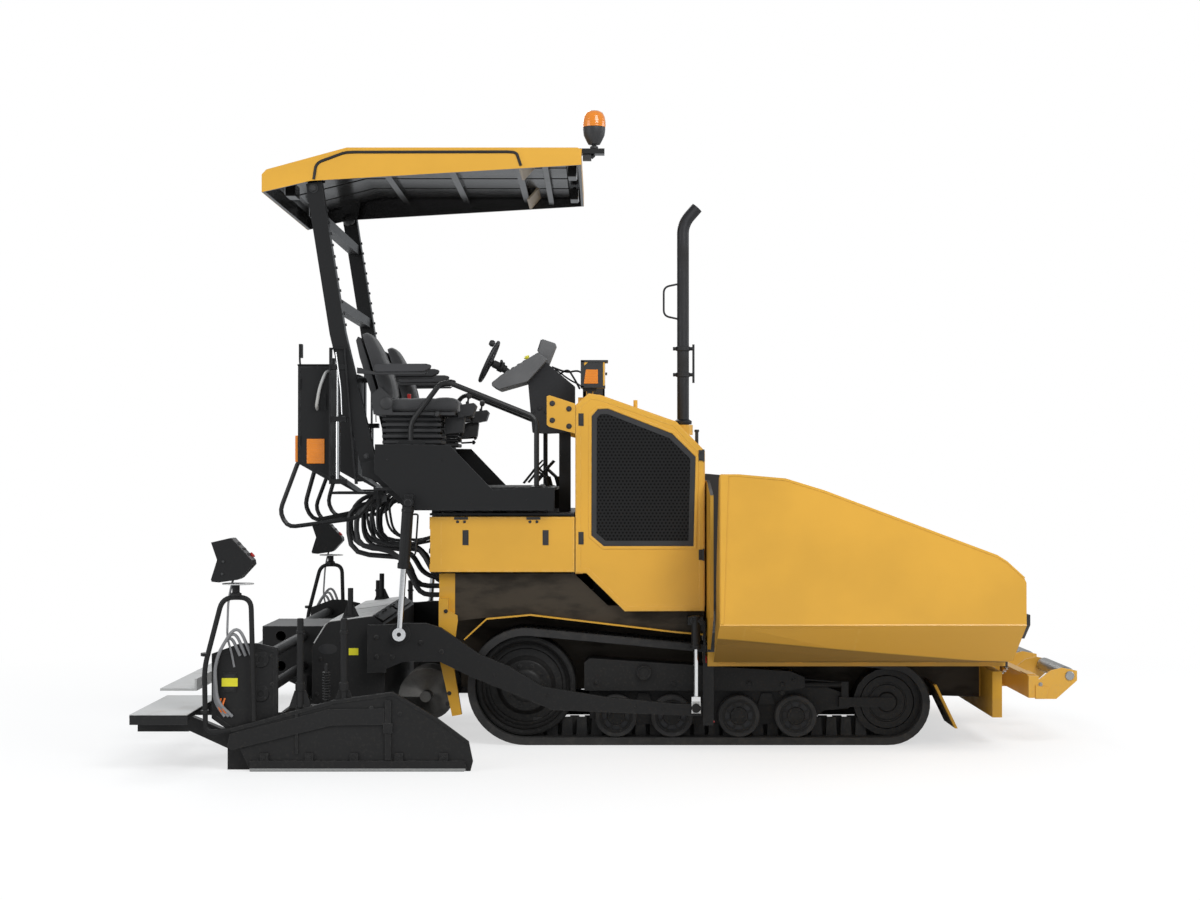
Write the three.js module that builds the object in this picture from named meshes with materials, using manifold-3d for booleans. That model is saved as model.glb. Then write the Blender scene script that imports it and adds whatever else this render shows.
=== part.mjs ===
// Small tracked asphalt paver, millimetres, +X forward, +Y to the left, +Z up.
// The ground is z = 0. Every paired piece is drawn on the left side, at positive y, and mirrored.
import * as THREE from 'three';
import { mergeVertices } from 'three/addons/utils/BufferGeometryUtils.js';
import Module from 'manifold-3d';

const wasm = await Module();
wasm.setup();

// ---------------------------------------------------------------- driving dimensions
const CLEARANCE = 0.3;          // between pieces that seat on each other
const BODY_HALF = 875;          // centre line to the outer face of the doors
const DOOR = 15;                // thickness of doors and flaps
const PLATE = 12;               // sheet and plate of hopper and chassis
const TUBE_R = 15;              // handrail tube radius

const TRACK = { width: 300, outer: BODY_HALF - 25, belt: 45, lug: 20, pitch: 125 };
const DRIVE = { x: -428, r: 336 };          // rear end of the belt
const IDLER = { x: 1659, r: 240 };          // front end of the belt
const BOGIE = { r: 120.7, x: [92, 414, 799, 1127], width: 70 };

const CHASSIS_HALF = TRACK.outer - TRACK.width - 30;       // outer face of the inner side plates
const TUNNEL_FLOOR = 405;       // top of the conveyor tunnel floor
const BED_TOP = 800;            // top of the engine bed
const BODY_BOTTOM = 985;        // sill below the side flaps
const NOSE_X = 2304;            // front face of the yellow cross member
const REAR_X = -926;            // rear face of the chassis

const DECK_TOP = 1480;          // operator's floor
const DECK = { rear: -1290, front: -257, half: BODY_HALF + 60, sheet: 15 };

const WING = { rear: 645, front: 2297, outer: 1550, bend: 753, hinge: 500, tube: 12 };
const FLOOR_LIP = BODY_HALF + 87;          // outer edge of the fixed hopper floor
const BULKHEAD = { x: 612, thick: 18 };

const ARM = { inner: BODY_HALF + 60, thick: 40 };
const TOW_PIN = { x: 545, z: 225 };
const SCREED = { half: BODY_HALF, front: -1235, rear: -1650, top: 740 };
const EXTENSION = { inner: SCREED.half + 10, outer: SCREED.half + 875, rear: -2045, front: -1670, top: 300 };
const ENDGATE = { inner: EXTENSION.outer + 35, thick: 20 };
const WALK = { rear: -2520, half: SCREED.half + 5, front: -2310, z: 330, sheet: 14 };
const CANOPY = { half: BODY_HALF, front: -107, rear: -1945, top: 3435, sheet: 18 };
const POST = { inner: BODY_HALF - 115, outer: BODY_HALF - 35, width: 90 };
const CANOPY_PIVOT = { x: -1322, z: 1592 };
const ROOF_PIVOT = { x: -1652, z: CANOPY.top - 210 };
const STACK = { x: 495, y: -450, r: 36, top: 3050 };
const ROLLER = { x: 2697, z: 400, r: 43, inner: 195, outer: 830 };
const AUGER = { x: -1010, z: 270, r: 158, shaft: 32, inner: 60, outer: 772, turns: 2.5, blade: 12 };
const LIFT = { top: [-1087, 1395], bottom: [-1137, 650], y: ARM.inner + ARM.thick + 31 };

// ---------------------------------------------------------------- shape tools
const finish = (color, roughness, metalness) => new THREE.MeshStandardMaterial({
  color, roughness, metalness, flatShading: true,
});
const YELLOW = finish(0xdaa32f, 0.42, 0.1);
const CHARCOAL = finish(0x2f2f2f, 0.5, 0.2);
const BLACK = finish(0x1b1b1b, 0.6, 0.1);
const RUBBER = finish(0x1d1d1d, 0.85, 0);
const STEEL = finish(0x8b8b88, 0.4, 0.8);
const CHROME = finish(0xd8d8d8, 0.12, 1);
const GREY = finish(0xc4c4c2, 0.5, 0.2);
const FABRIC = finish(0x262626, 0.9, 0);
const AMBER = finish(0xd9750f, 0.2, 0);

// Makes one closed solid of a three.js geometry, whichever way its faces were wound.
function toSolid(geometry) {
  const bare = geometry.clone();
  bare.deleteAttribute('normal');
  bare.deleteAttribute('uv');
  const merged = mergeVertices(bare, 1e-3);
  const position = merged.attributes.position;
  const index = merged.index.array;
  const kept = [];
  for (let i = 0; i < index.length; i += 3) {
    const [a, b, c] = [index[i], index[i + 1], index[i + 2]];
    if (a !== b && b !== c && a !== c) kept.push([a, b, c]);
  }
  const corner = (i) => new THREE.Vector3().fromBufferAttribute(position, i);
  const volume = kept.reduce((sum, [a, b, c]) => sum + corner(a).dot(corner(b).cross(corner(c))), 0);
  const faces = volume < 0 ? kept.map(([a, b, c]) => [a, c, b]) : kept;
  return new wasm.Manifold(new wasm.Mesh({
    numProp: 3,
    vertProperties: new Float32Array(position.array),
    triVerts: new Uint32Array(faces.flat()),
  }));
}

function toGeometry(solid) {
  const mesh = solid.getMesh();
  const geometry = new THREE.BufferGeometry();
  geometry.setAttribute('position', new THREE.BufferAttribute(new Float32Array(mesh.vertProperties), 3));
  geometry.setIndex(new THREE.BufferAttribute(new Uint32Array(mesh.triVerts), 1));
  return geometry;
}

const join = (...parts) => toGeometry(parts.flat().map(toSolid).reduce((all, part) => all.add(part)));

const cut = (base, ...tools) => toGeometry(
  tools.flat().map(toSolid).reduce((left, tool) => left.subtract(tool), toSolid(base)));

const mirrored = (geometry) => geometry.clone().scale(1, -1, 1);

const bothSides = (...parts) => parts.flat().flatMap((part) => [part, mirrored(part)]);

function box(x0, x1, y0, y1, z0, z1) {
  const geometry = new THREE.BoxGeometry(x1 - x0, y1 - y0, z1 - z0);
  return geometry.translate((x0 + x1) / 2, (y0 + y1) / 2, (z0 + z1) / 2);
}

function extrude(points, depth) {
  const shape = new THREE.Shape(points.map(([u, v]) => new THREE.Vector2(u, v)));
  return new THREE.ExtrudeGeometry(shape, { depth, bevelEnabled: false, curveSegments: 12 });
}

// A plate drawn in side view, as [x, z] points, between two values of y.
function sidePlate(points, y0, y1) {
  const toSide = new THREE.Matrix4().set(1, 0, 0, 0, 0, 0, 1, y0, 0, 1, 0, 0, 0, 0, 0, 1);
  return extrude(points, y1 - y0).applyMatrix4(toSide);
}

// A plate drawn in front view, as [y, z] points, between two values of x.
function crossPlate(points, x0, x1) {
  const toFront = new THREE.Matrix4().set(0, 0, 1, x0, 1, 0, 0, 0, 0, 1, 0, 0, 0, 0, 0, 1);
  return extrude(points, x1 - x0).applyMatrix4(toFront);
}

// The outline of a sheet that follows a line of points, thickened to the line's left.
function ribbon(points, thickness) {
  const line = points.map(([u, v]) => new THREE.Vector2(u, v));
  const normals = line.slice(1).map((p, i) => {
    const along = p.clone().sub(line[i]).normalize();
    return new THREE.Vector2(-along.y, along.x);
  });
  const offset = line.map((p, i) => {
    const before = normals[Math.max(i - 1, 0)];
    const after = normals[Math.min(i, normals.length - 1)];
    const middle = before.clone().add(after).normalize();
    return p.clone().add(middle.multiplyScalar(thickness / middle.dot(after)));
  });
  return [...line, ...offset.reverse()].map((p) => [p.x, p.y]);
}

function turned(profile, segments) {
  return new THREE.LatheGeometry(profile.map(([r, a]) => new THREE.Vector2(r, a)), segments);
}

const rod = (r, length, segments = 16) => turned([[0, 0], [r, 0], [r, length], [0, length]], segments);

const rodY = (x, z, r, y0, y1, segments) => rod(r, y1 - y0, segments).translate(x, y0, z);

const rodX = (y, z, r, x0, x1, segments) => rod(r, x1 - x0, segments).rotateZ(-Math.PI / 2).translate(x0, y, z);

const rodZ = (x, y, r, z0, z1, segments) => rod(r, z1 - z0, segments).rotateX(Math.PI / 2).translate(x, y, z0);

// A rod between two points.
function strut(from, to, r, segments = 12) {
  const a = new THREE.Vector3(...from);
  const along = new THREE.Vector3(...to).sub(a);
  const turn = new THREE.Quaternion().setFromUnitVectors(new THREE.Vector3(0, 1, 0), along.clone().normalize());
  return rod(r, along.length(), segments).applyQuaternion(turn).translate(a.x, a.y, a.z);
}

// A closed skin through equal loops of points, each of them [x, y, z] in a plane across x, with x rising.
function loft(loops) {
  const flat = (loop) => loop.map(([, y, z]) => new THREE.Vector2(y, z));
  const rings = THREE.ShapeUtils.isClockWise(flat(loops[0])) ? loops.map((loop) => [...loop].reverse()) : loops;
  const count = rings[0].length;
  const cap = (ring) => THREE.ShapeUtils.triangulateShape(flat(ring), []);
  const last = rings.length - 1;
  const faces = [
    ...cap(rings[0]).map(([a, b, c]) => [c, b, a]),
    ...cap(rings[last]).map((face) => face.map((i) => i + last * count)),
  ];
  for (let j = 0; j < last; j += 1) {
    for (let i = 0; i < count; i += 1) {
      const next = (i + 1) % count;
      const [a, b, c, d] = [j * count + i, j * count + next, (j + 1) * count + next, (j + 1) * count + i];
      faces.push([a, b, c], [a, c, d]);
    }
  }
  const geometry = new THREE.BufferGeometry();
  geometry.setAttribute('position', new THREE.Float32BufferAttribute(rings.flat(2), 3));
  geometry.setIndex(faces.flat());
  return geometry;
}

// A path of straight runs with rounded corners, sampled at its own points.
class BentPath extends THREE.Curve {
  constructor(points, bend) {
    super();
    const corners = points.map((p) => new THREE.Vector3(...p));
    this.samples = corners.flatMap((corner, i) => {
      if (i === 0 || i === corners.length - 1) return [corner];
      const before = corners[i - 1].clone().sub(corner);
      const after = corners[i + 1].clone().sub(corner);
      const reach = Math.min(bend, before.length() * 0.45, after.length() * 0.45);
      const start = corner.clone().add(before.setLength(reach));
      const end = corner.clone().add(after.setLength(reach));
      return new THREE.QuadraticBezierCurve3(start, corner, end).getPoints(3);
    });
    this.steps = this.samples.length - 1;
  }

  getPoint(t) {
    const i = Math.min(Math.floor(t * this.steps), this.steps - 1);
    return this.samples[i].clone().lerp(this.samples[i + 1], t * this.steps - i);
  }

  getPointAt(u) { return this.getPoint(u); }

  getSpacedPoints() { return this.samples; }

  getTangentAt(u) {
    const i = Math.round(u * this.steps);
    const ahead = this.samples[Math.min(i + 1, this.steps)];
    return ahead.clone().sub(this.samples[Math.max(i - 1, 0)]).normalize();
  }
}

function tube(points, r, bend = 60, sides = 6) {
  const path = new BentPath(points, bend);
  const section = new THREE.Shape();
  for (let i = 0; i < sides; i += 1) {
    const angle = (2 * Math.PI * i) / sides;
    const point = [r * Math.cos(angle), r * Math.sin(angle)];
    if (i === 0) section.moveTo(...point); else section.lineTo(...point);
  }
  section.closePath();
  return new THREE.ExtrudeGeometry(section, { steps: path.steps, extrudePath: path, bevelEnabled: false });
}

// ---------------------------------------------------------------- the assembly
const paver = new THREE.Group();
paver.name = 'asphalt_paver';
const frontEnd = ROLLER.x + ROLLER.r;
paver.position.x = -(frontEnd + WALK.rear) / 2;

function add(name, material, geometry) {
  const mesh = new THREE.Mesh(join(geometry), material);
  mesh.name = name;
  paver.add(mesh);
  return mesh;
}

function addPair(name, material, geometry) {
  add(`${name}_L`, material, geometry);
  add(`${name}_R`, material, geometry).scale.y = -1;
}

// ---------------------------------------------------------------- tracks
const trackInner = TRACK.outer - TRACK.width;
const trackMiddle = TRACK.outer - TRACK.width / 2;
const throat = trackInner - 130;           // half the width between the sloping hopper floors
const beltRun = IDLER.x - DRIVE.x;
const beltSlope = 2 * Math.atan2(IDLER.r - DRIVE.r, beltRun);     // of the upper run
const frontArc = Math.PI + beltSlope;
const rearArc = Math.PI - beltSlope;

// The belt's bends are drawn in chords; this is the largest wheel that turns freely inside one.
const ARC_STEPS = 14;
const insideRadius = (r, arc) => (r - TRACK.belt) * Math.cos(arc / (2 * ARC_STEPS)) - CLEARANCE;

// A point of the belt loop, a distance along its outside and a depth below it.
function beltPoint(along, depth) {
  const front = frontArc * IDLER.r;
  if (along < beltRun) return [DRIVE.x + along, depth];
  if (along < beltRun + front) {
    const angle = -Math.PI / 2 + (along - beltRun) / IDLER.r;
    return [IDLER.x + (IDLER.r - depth) * Math.cos(angle), IDLER.r + (IDLER.r - depth) * Math.sin(angle)];
  }
  const normal = Math.PI / 2 + beltSlope;
  if (along < 2 * beltRun + front) {
    const run = along - beltRun - front;
    const out = IDLER.r - depth;
    return [
      IDLER.x + out * Math.cos(normal) - run * Math.cos(beltSlope),
      IDLER.r + out * Math.sin(normal) - run * Math.sin(beltSlope),
    ];
  }
  const angle = normal + (along - 2 * beltRun - front) / DRIVE.r;
  return [DRIVE.x + (DRIVE.r - depth) * Math.cos(angle), DRIVE.r + (DRIVE.r - depth) * Math.sin(angle)];
}

function trackBelt() {
  const length = 2 * beltRun + frontArc * IDLER.r + rearArc * DRIVE.r;
  const lugs = Math.round(length / TRACK.pitch);
  const step = length / lugs;
  const outline = [];
  for (let i = 0; i < lugs; i += 1) {
    const start = i * step;
    outline.push(beltPoint(start + 0.02 * step, 0), beltPoint(start + 0.56 * step, 0));
    outline.push(beltPoint(start + 0.64 * step, TRACK.lug), beltPoint(start + 0.94 * step, TRACK.lug));
  }
  const loop = [];
  const bend = (start, arc, r) => {
    for (let i = 0; i <= ARC_STEPS; i += 1) loop.push(beltPoint(start + (arc * r * i * 0.9998) / ARC_STEPS, TRACK.belt));
  };
  bend(beltRun, frontArc, IDLER.r);
  bend(2 * beltRun + frontArc * IDLER.r, rearArc, DRIVE.r);
  const solid = sidePlate(outline, trackInner, TRACK.outer);
  return cut(solid, sidePlate(loop, trackInner - 5, TRACK.outer + 5));
}

// Wheel centred on its own axle, which lies along y.
function driveWheel() {
  const r = insideRadius(DRIVE.r, rearArc);
  const hub = trackMiddle - CHASSIS_HALF - CLEARANCE;
  const profile = [
    [0, 105], [85, 105], [100, 92], [118, 92], [118, 70], [165, 55], [205, 48], [238, 48], [252, 95], [r, 95],
    [r, -95], [252, -95], [238, -30], [130, -30], [130, -hub], [0, -hub],
  ];
  return turned(profile, 20).translate(DRIVE.x, trackMiddle, DRIVE.r);
}

function idlerWheel() {
  const r = insideRadius(IDLER.r, frontArc);
  const half = 75;
  const profile = [
    [0, half + 12], [45, half + 12], [45, 30], [150, 22], [158, half], [r, half],
    [r, -half], [158, -half], [150, -22], [45, -30], [45, -half - 12], [0, -half - 12],
  ];
  return turned(profile, 18).translate(IDLER.x, trackMiddle, IDLER.r);
}

function bogieWheel(x, y) {
  const half = BOGIE.width / 2;
  const profile = [[0, half - 14], [84, half - 14], [92, half], [BOGIE.r, half], [BOGIE.r, -half], [0, -half]];
  return turned(profile, 16).translate(x, y, TRACK.belt + CLEARANCE + BOGIE.r);
}

// Roller frame with its bogie wheels, tension yoke and idler.
function trackFrame() {
  const axle = TRACK.belt + CLEARANCE + BOGIE.r;
  const beam = sidePlate([
    [-60, 150], [30, 110], [1190, 110], [1300, 190], [1440, 200], [1440, 280], [1290, 330], [1100, 420], [-60, 480],
  ], trackMiddle - 55, trackMiddle + 55);
  const cover = sidePlate([
    [-90, 310], [1100, 310], [1180, 330], [1180, 385], [1100, 420], [160, 480], [-60, 495], [-90, 470],
  ], trackMiddle - 40, TRACK.outer - 38);
  const boss = rodY(253, 415, 42, TRACK.outer - 40, TRACK.outer - 12, 16);
  const wheels = BOGIE.x.flatMap((x) => {
    const outer = bogieWheel(x, TRACK.outer - 45);
    const inner = rodY(x, axle, BOGIE.r, trackInner + 15, trackInner + 85, 10);
    return [outer, inner, rodY(x, axle, 26, trackInner + 40, TRACK.outer - 50, 6)];
  });
  const cheeks = [-1, 1].map((side) => {
    const y = trackMiddle + side * 93;
    return sidePlate([[1380, 215], [1690, 212], [1700, 240], [1690, 268], [1380, 268]], y - 6, y + 6);
  });
  const yoke = box(1380, 1440, trackMiddle - 99, trackMiddle + 99, 212, 270);
  const pin = rodY(IDLER.x, IDLER.r, 20, trackMiddle - 90, trackMiddle + 90, 12);
  const tension = rodX(trackMiddle + 70, 340, 17, 1150, 1425, 12);
  const tensionFoot = box(1395, 1435, trackMiddle + 45, trackMiddle + 90, 255, 358);
  return join(beam, cover, boss, wheels, cheeks, yoke, pin, idlerWheel(), tension, tensionFoot);
}

addPair('track_belt', RUBBER, trackBelt());
addPair('drive_wheel', BLACK, driveWheel());
addPair('track_frame', BLACK, trackFrame());

// ---------------------------------------------------------------- chassis
const innerPlate = CHASSIS_HALF - 20;
const fenderLine = [[-782, 610], [-652, 730], [-400, 753], [439, 654], [600, 640]];

function mainFrame() {
  const skirt = BODY_HALF - 50;
  const sidePlateLow = sidePlate([
    [-820, 300], [1880, 250], [NOSE_X - 20, 240], [NOSE_X - 20, 426], [1500, 430], [606, 440], [600, BED_TOP],
    [REAR_X, BED_TOP], [REAR_X, 470], [-820, 425],
  ], innerPlate, CHASSIS_HALF);
  const floor = box(-880, NOSE_X - 20, -innerPlate - 5, innerPlate + 5, TUNNEL_FLOOR - PLATE, TUNNEL_FLOOR);
  const bed = box(REAR_X, 600, -skirt, skirt, BED_TOP - PLATE, BED_TOP);
  const sill = sidePlate([
    [REAR_X, BODY_BOTTOM], [-150, BODY_BOTTOM], [60, BED_TOP - PLATE], [600, BED_TOP - PLATE], [600, 641], [439, 655],
    [-400, 754], [-652, 731], [REAR_X, 700],
  ], skirt - PLATE, skirt);
  const fender = sidePlate(ribbon(fenderLine, -8), CHASSIS_HALF - 4, BODY_HALF - 5);
  const post = sidePlate([
    [REAR_X, 843], [-872, 843], [-872, 775], [-820, 745], [-817, 715], [-838, 560], [-846, 490], [-794, 178],
    [-848, 168], [-918, 480], [REAR_X, 640],
  ], skirt - PLATE, skirt + 35);
  const rearTie = box(REAR_X, REAR_X + PLATE, -skirt, skirt, BED_TOP - PLATE, BODY_BOTTOM);
  const deckRails = bothSides(box(REAR_X, -150, skirt - 60, skirt, BODY_BOTTOM - PLATE, BODY_BOTTOM));
  const frontTie = box(-160, -150, -skirt, skirt, BED_TOP - PLATE, BODY_BOTTOM);
  const nose = cut(
    box(NOSE_X - 55, NOSE_X, -BODY_HALF, BODY_HALF, 163, 426),
    box(NOSE_X - 60, NOSE_X + 5, -throat - 25, throat + 25, TUNNEL_FLOOR, 430));
  const draft = box(NOSE_X - 10, 2450, -110, 110, 272, 400);
  const plough = sidePlate([[1915, 350], [1930, 350], [2050, 100], [2035, 100]], CHASSIS_HALF - 5, BODY_HALF);
  const gearcase = sidePlate([
    [-860, 600], [-940, 600], [-1055, 350], [-1060, 225], [-960, 225], [-860, 393],
  ], -45, 45);
  return join(
    bothSides(sidePlateLow, sill, fender, post, plough), floor, bed, rearTie, deckRails, frontTie, nose, draft, gearcase);
}

function conveyor() {
  const half = throat - 25;
  const floor = box(-859, 2230, -half, half, TUNNEL_FLOOR + CLEARANCE, TUNNEL_FLOOR + 14);
  const chains = bothSides(box(-855, 2220, half - 60, half - 30, TUNNEL_FLOOR + 10, TUNNEL_FLOOR + 34));
  const bars = [];
  for (let x = -840; x < 2200; x += 500) {
    bars.push(box(x, x + 22, -half + 20, half - 20, TUNNEL_FLOOR + 12, TUNNEL_FLOOR + 42));
  }
  const divider = sidePlate([
    [-855, TUNNEL_FLOOR + 10], [2100, TUNNEL_FLOOR + 10], [2040, TUNNEL_FLOOR + 70], [-855, TUNNEL_FLOOR + 70],
  ], -30, 30);
  return join(floor, chains, bars, divider);
}

add('main_frame', YELLOW, mainFrame());
add('conveyor', STEEL, conveyor());
add('engine_block', CHARCOAL, box(-40, 480, -330, 330, BED_TOP + CLEARANCE, 1480));

// ---------------------------------------------------------------- hopper
const floorEnd = WING.front + 8;
const hingeY = FLOOR_LIP + 2 * CLEARANCE + WING.tube;

function hopperBase() {
  const section = [
    [throat, TUNNEL_FLOOR + CLEARANCE], [throat, 485], [trackInner, 645], [BODY_HALF - 15, 645], [FLOOR_LIP, 545],
    [FLOOR_LIP, 465],
  ];
  const floor = crossPlate(ribbon(section, -PLATE), BULKHEAD.x, floorEnd);
  const wall = crossPlate([
    [0, 800], [throat + 10, 800], [throat + 10, 485], [trackInner + 10, 640], [BODY_HALF - 15, 640],
    [FLOOR_LIP - 2, 560], [FLOOR_LIP + 273, 760], [FLOOR_LIP + 273, 1440], [BODY_HALF, 1520], [0, 1520],
  ], BULKHEAD.x, BULKHEAD.x + BULKHEAD.thick);
  const ribs = [1000, 1500, 2000].map((x) => crossPlate([
    [trackInner - 15, 446], [FLOOR_LIP - 6, 466], [FLOOR_LIP - 6, 540], [BODY_HALF - 17, 636], [trackInner + 6, 636],
  ], x, x + PLATE));
  const overTrack = ribs.map((rib, i) => cut(rib, box(900, 2100, trackInner - 30, TRACK.outer + 12, 0, 620 - 35 * i)));
  return join(bothSides(floor, wall, overTrack));
}

function wingPanel() {
  const stations = [[WING.rear, 616], [1560, 533], [WING.front, 533]];
  const loops = stations.map(([x, knee]) => ribbon([
    [hingeY, WING.hinge], [FLOOR_LIP + 238, knee], [WING.outer - 2, WING.bend],
  ], -PLATE).map(([y, z]) => [x, y, z]));
  return loft(loops);
}

function hopperWing() {
  const wall = sidePlate([
    [WING.rear, WING.bend - 10], [WING.front, WING.bend - 10], [WING.front, 972], [2282, 1005], [2194, 1086],
    [2141, 1119], [1209, 1468], [1000, 1532], [747, 1555], [WING.rear, 1555],
  ], WING.outer - PLATE, WING.outer);
  const rear = crossPlate([
    [FLOOR_LIP + 98, 550], [FLOOR_LIP + 238, 610], [WING.outer - 4, 748], [WING.outer - 4, 1540], [1462, 1540],
  ], WING.rear, WING.rear + PLATE);
  const front = crossPlate([
    [FLOOR_LIP + 78, 515], [FLOOR_LIP + 238, 528], [WING.outer - 4, 748], [WING.outer - 4, 970], [1440, 900], [1100, 600],
  ], WING.front - PLATE, WING.front);
  const hinge = rodX(hingeY, WING.hinge, WING.tube, WING.rear + 20, WING.front - 20, 12);
  return join(wingPanel(), wall, rear, front, hinge);
}

function hopperApron() {
  return crossPlate([
    [22 - FLOOR_LIP, 745], [22 - FLOOR_LIP, 455], [FLOOR_LIP - 22, 455], [FLOOR_LIP - 22, 745],
  ], floorEnd + CLEARANCE, floorEnd + CLEARANCE + 18);
}

add('hopper_base', CHARCOAL, hopperBase());
addPair('hopper_wing', YELLOW, hopperWing());
add('hopper_apron', RUBBER, hopperApron());

// ---------------------------------------------------------------- push rollers
const rollerCheek = ROLLER.outer + 8;
const middleCheek = ROLLER.inner - 22;

function pushBeam() {
  const beam = box(2462, 2520, -rollerCheek - 14, rollerCheek + 14, 272, 398);
  const endCheek = [
    [2500, 266], [2620, 266], [2740, 372], [2740, 428], [2655, 445], [2590, 430], [2500, 360],
  ];
  const cheeks = bothSides(
    sidePlate(endCheek, rollerCheek, rollerCheek + 14), sidePlate(endCheek, middleCheek, middleCheek + 14));
  const yoke = [[400.5, 416], [256, 271.5]].map(([low, high]) => box(2350, 2500, -95, 95, low, high));
  const riser = box(2466, 2500, -95, 95, 256, 416);
  const pin = rodZ(2400, 0, 24, 405, 424, 16);
  return join(beam, cheeks, yoke, riser, pin);
}

function pushRoller() {
  const from = ROLLER.inner - 8 + CLEARANCE;
  const to = ROLLER.outer + 8 - CLEARANCE;
  const barrel = rodY(ROLLER.x, ROLLER.z, ROLLER.r, from + 12, to - 12, 20);
  return join(barrel, rodY(ROLLER.x, ROLLER.z, 22, from, to, 10));
}

add('push_beam', YELLOW, pushBeam());
addPair('push_roller', STEEL, pushRoller());

// ---------------------------------------------------------------- engine hood and doors
const HOOD = [
  [-142, 1954], [-65, 2021], [5, 2012], [438, 1860], [603, 1690],
];

function hood() {
  const inner = BODY_HALF - DOOR - CLEARANCE;
  const line = [[-142, BODY_BOTTOM + CLEARANCE], ...HOOD, [603, BED_TOP + CLEARANCE]];
  const shell = sidePlate(ribbon(line, -8), -inner, inner);
  const rail = bothSides(sidePlate(ribbon(line, -45), inner - 6, inner));
  const cap = box(-128, 20, -690, 690, 1975, 2005);
  const lampPost = bothSides(box(-80, -40, 690, 720, 1960, 2080));
  const lamp = bothSides(box(-108, 27, 640, 760, 2064, 2214));
  const stackBase = rodZ(STACK.x, STACK.y, 58, 1790, 1849.7, 20);
  return join(shell, rail, cap, lampPost, lamp, stackBase);
}

function engineDoor() {
  const outline = [
    [-140, 1952], [-65, 2019], [5, 2010], [438, 1858], [598, 1690], [598, 773], [142, 771], [-78, 989], [-140, 994],
  ];
  const grille = [
    [-48, 1890], [-13, 1930], [46, 1933], [414, 1790], [549, 1656], [537, 1144], [21, 1144], [-50, 1205],
  ];
  const panel = sidePlate(outline, BODY_HALF - DOOR, BODY_HALF);
  const recess = sidePlate(grille, BODY_HALF - 6, BODY_HALF + 1);
  const slits = [];
  for (let z = 1230; z < 1780; z += 110) slits.push(box(30, 500, BODY_HALF - DOOR - 1, BODY_HALF, z, z + 40));
  return cut(panel, recess, slits);
}

function sideFlap() {
  return sidePlate([
    [-978, 996], [-146, 996], [-146, 1312], [-978, 1312], [-978, 1243], [-930, 1204], [-930, 1080], [-978, 1040],
  ], BODY_HALF - DOOR, BODY_HALF);
}

function exhaustStack() {
  const kick = [STACK.x + 88, STACK.top + 100];
  const pipe = tube([
    [STACK.x, STACK.y, 1850], [STACK.x, STACK.y, STACK.top], [kick[0], STACK.y, kick[1]],
  ], STACK.r, 70, 14);
  const clamp = rodZ(STACK.x, STACK.y, STACK.r + 9, 2130, 2170, 14);
  const handle = tube([
    [STACK.x - 20, STACK.y, 2690], [STACK.x - 120, STACK.y, 2670], [STACK.x - 120, STACK.y, 2500],
    [STACK.x - 20, STACK.y, 2480],
  ], 6, 40, 6);
  return join(pipe, clamp, handle);
}

add('hood', YELLOW, hood());
addPair('engine_door', YELLOW, engineDoor());
addPair('side_flap', YELLOW, sideFlap());
add('exhaust_stack', BLACK, exhaustStack());

// ---------------------------------------------------------------- operator's platform
const deckInside = DECK.half - DECK.sheet;

function operatorDeck() {
  const floor = box(DECK.rear, DECK.front, -deckInside - 2, deckInside + 2, DECK_TOP - DECK.sheet, DECK_TOP);
  const panel = sidePlate([
    [-1285, 1728], [-859, 1723], [-613, 1467], [DECK.front, 1481], [DECK.front - 11, 1350], [-1058, 1350],
    [DECK.rear, 1567],
  ], deckInside, DECK.half);
  const bodyInside = BODY_HALF - DOOR - CLEARANCE;
  const top = box(-978, -150, -bodyInside, bodyInside, 1320, 1332);
  const base = BODY_BOTTOM + CLEARANCE;
  const rearWall = box(-926, -914, -bodyInside, bodyInside, base, 1325);
  const frontWall = box(-162, -151, -bodyInside, bodyInside, base, 1325);
  const legs = bothSides(
    box(-970, -930, 780, 820, 1325, DECK_TOP - 5), box(-300, -262, 780, 820, 1325, DECK_TOP - 5),
    box(-640, -600, 400, 440, 1325, DECK_TOP - 5));
  const bracket = sidePlate([
    [-1058, 1350], [-1100, 1345], [-1290, 1520], [CANOPY_PIVOT.x - 45, 1548], [CANOPY_PIVOT.x - 45, 1620],
    [CANOPY_PIVOT.x + 30, 1640], [-1180, 1470], [-940, 1470], [-940, 1350],
  ], POST.outer + CLEARANCE, POST.outer + 30);
  const liftArm = sidePlate([
    [-1130, 1350], [-1040, 1350], [-1040, 1470], [-1130, 1470],
  ], POST.outer + 20, deckInside + 3);
  const liftLug = box(-1112, -1062, DECK.half - 4, LIFT.y - 22, 1376, 1440);
  return join(floor, bothSides(panel, bracket, liftArm, liftLug), top, rearWall, frontWall, legs);
}

function handrail() {
  const y = deckInside - TUBE_R - 5;
  const foot = DECK_TOP + CLEARANCE;
  return tube([
    [-1084, y, foot], [-1084, y, 1851], [-918, y, 2072], [-871, y, 2084], [-387, y, 1890], [-363, y, 1851],
    [-363, y, foot],
  ], TUBE_R, 45, 8);
}

const SEAT_Y = 660;

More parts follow.
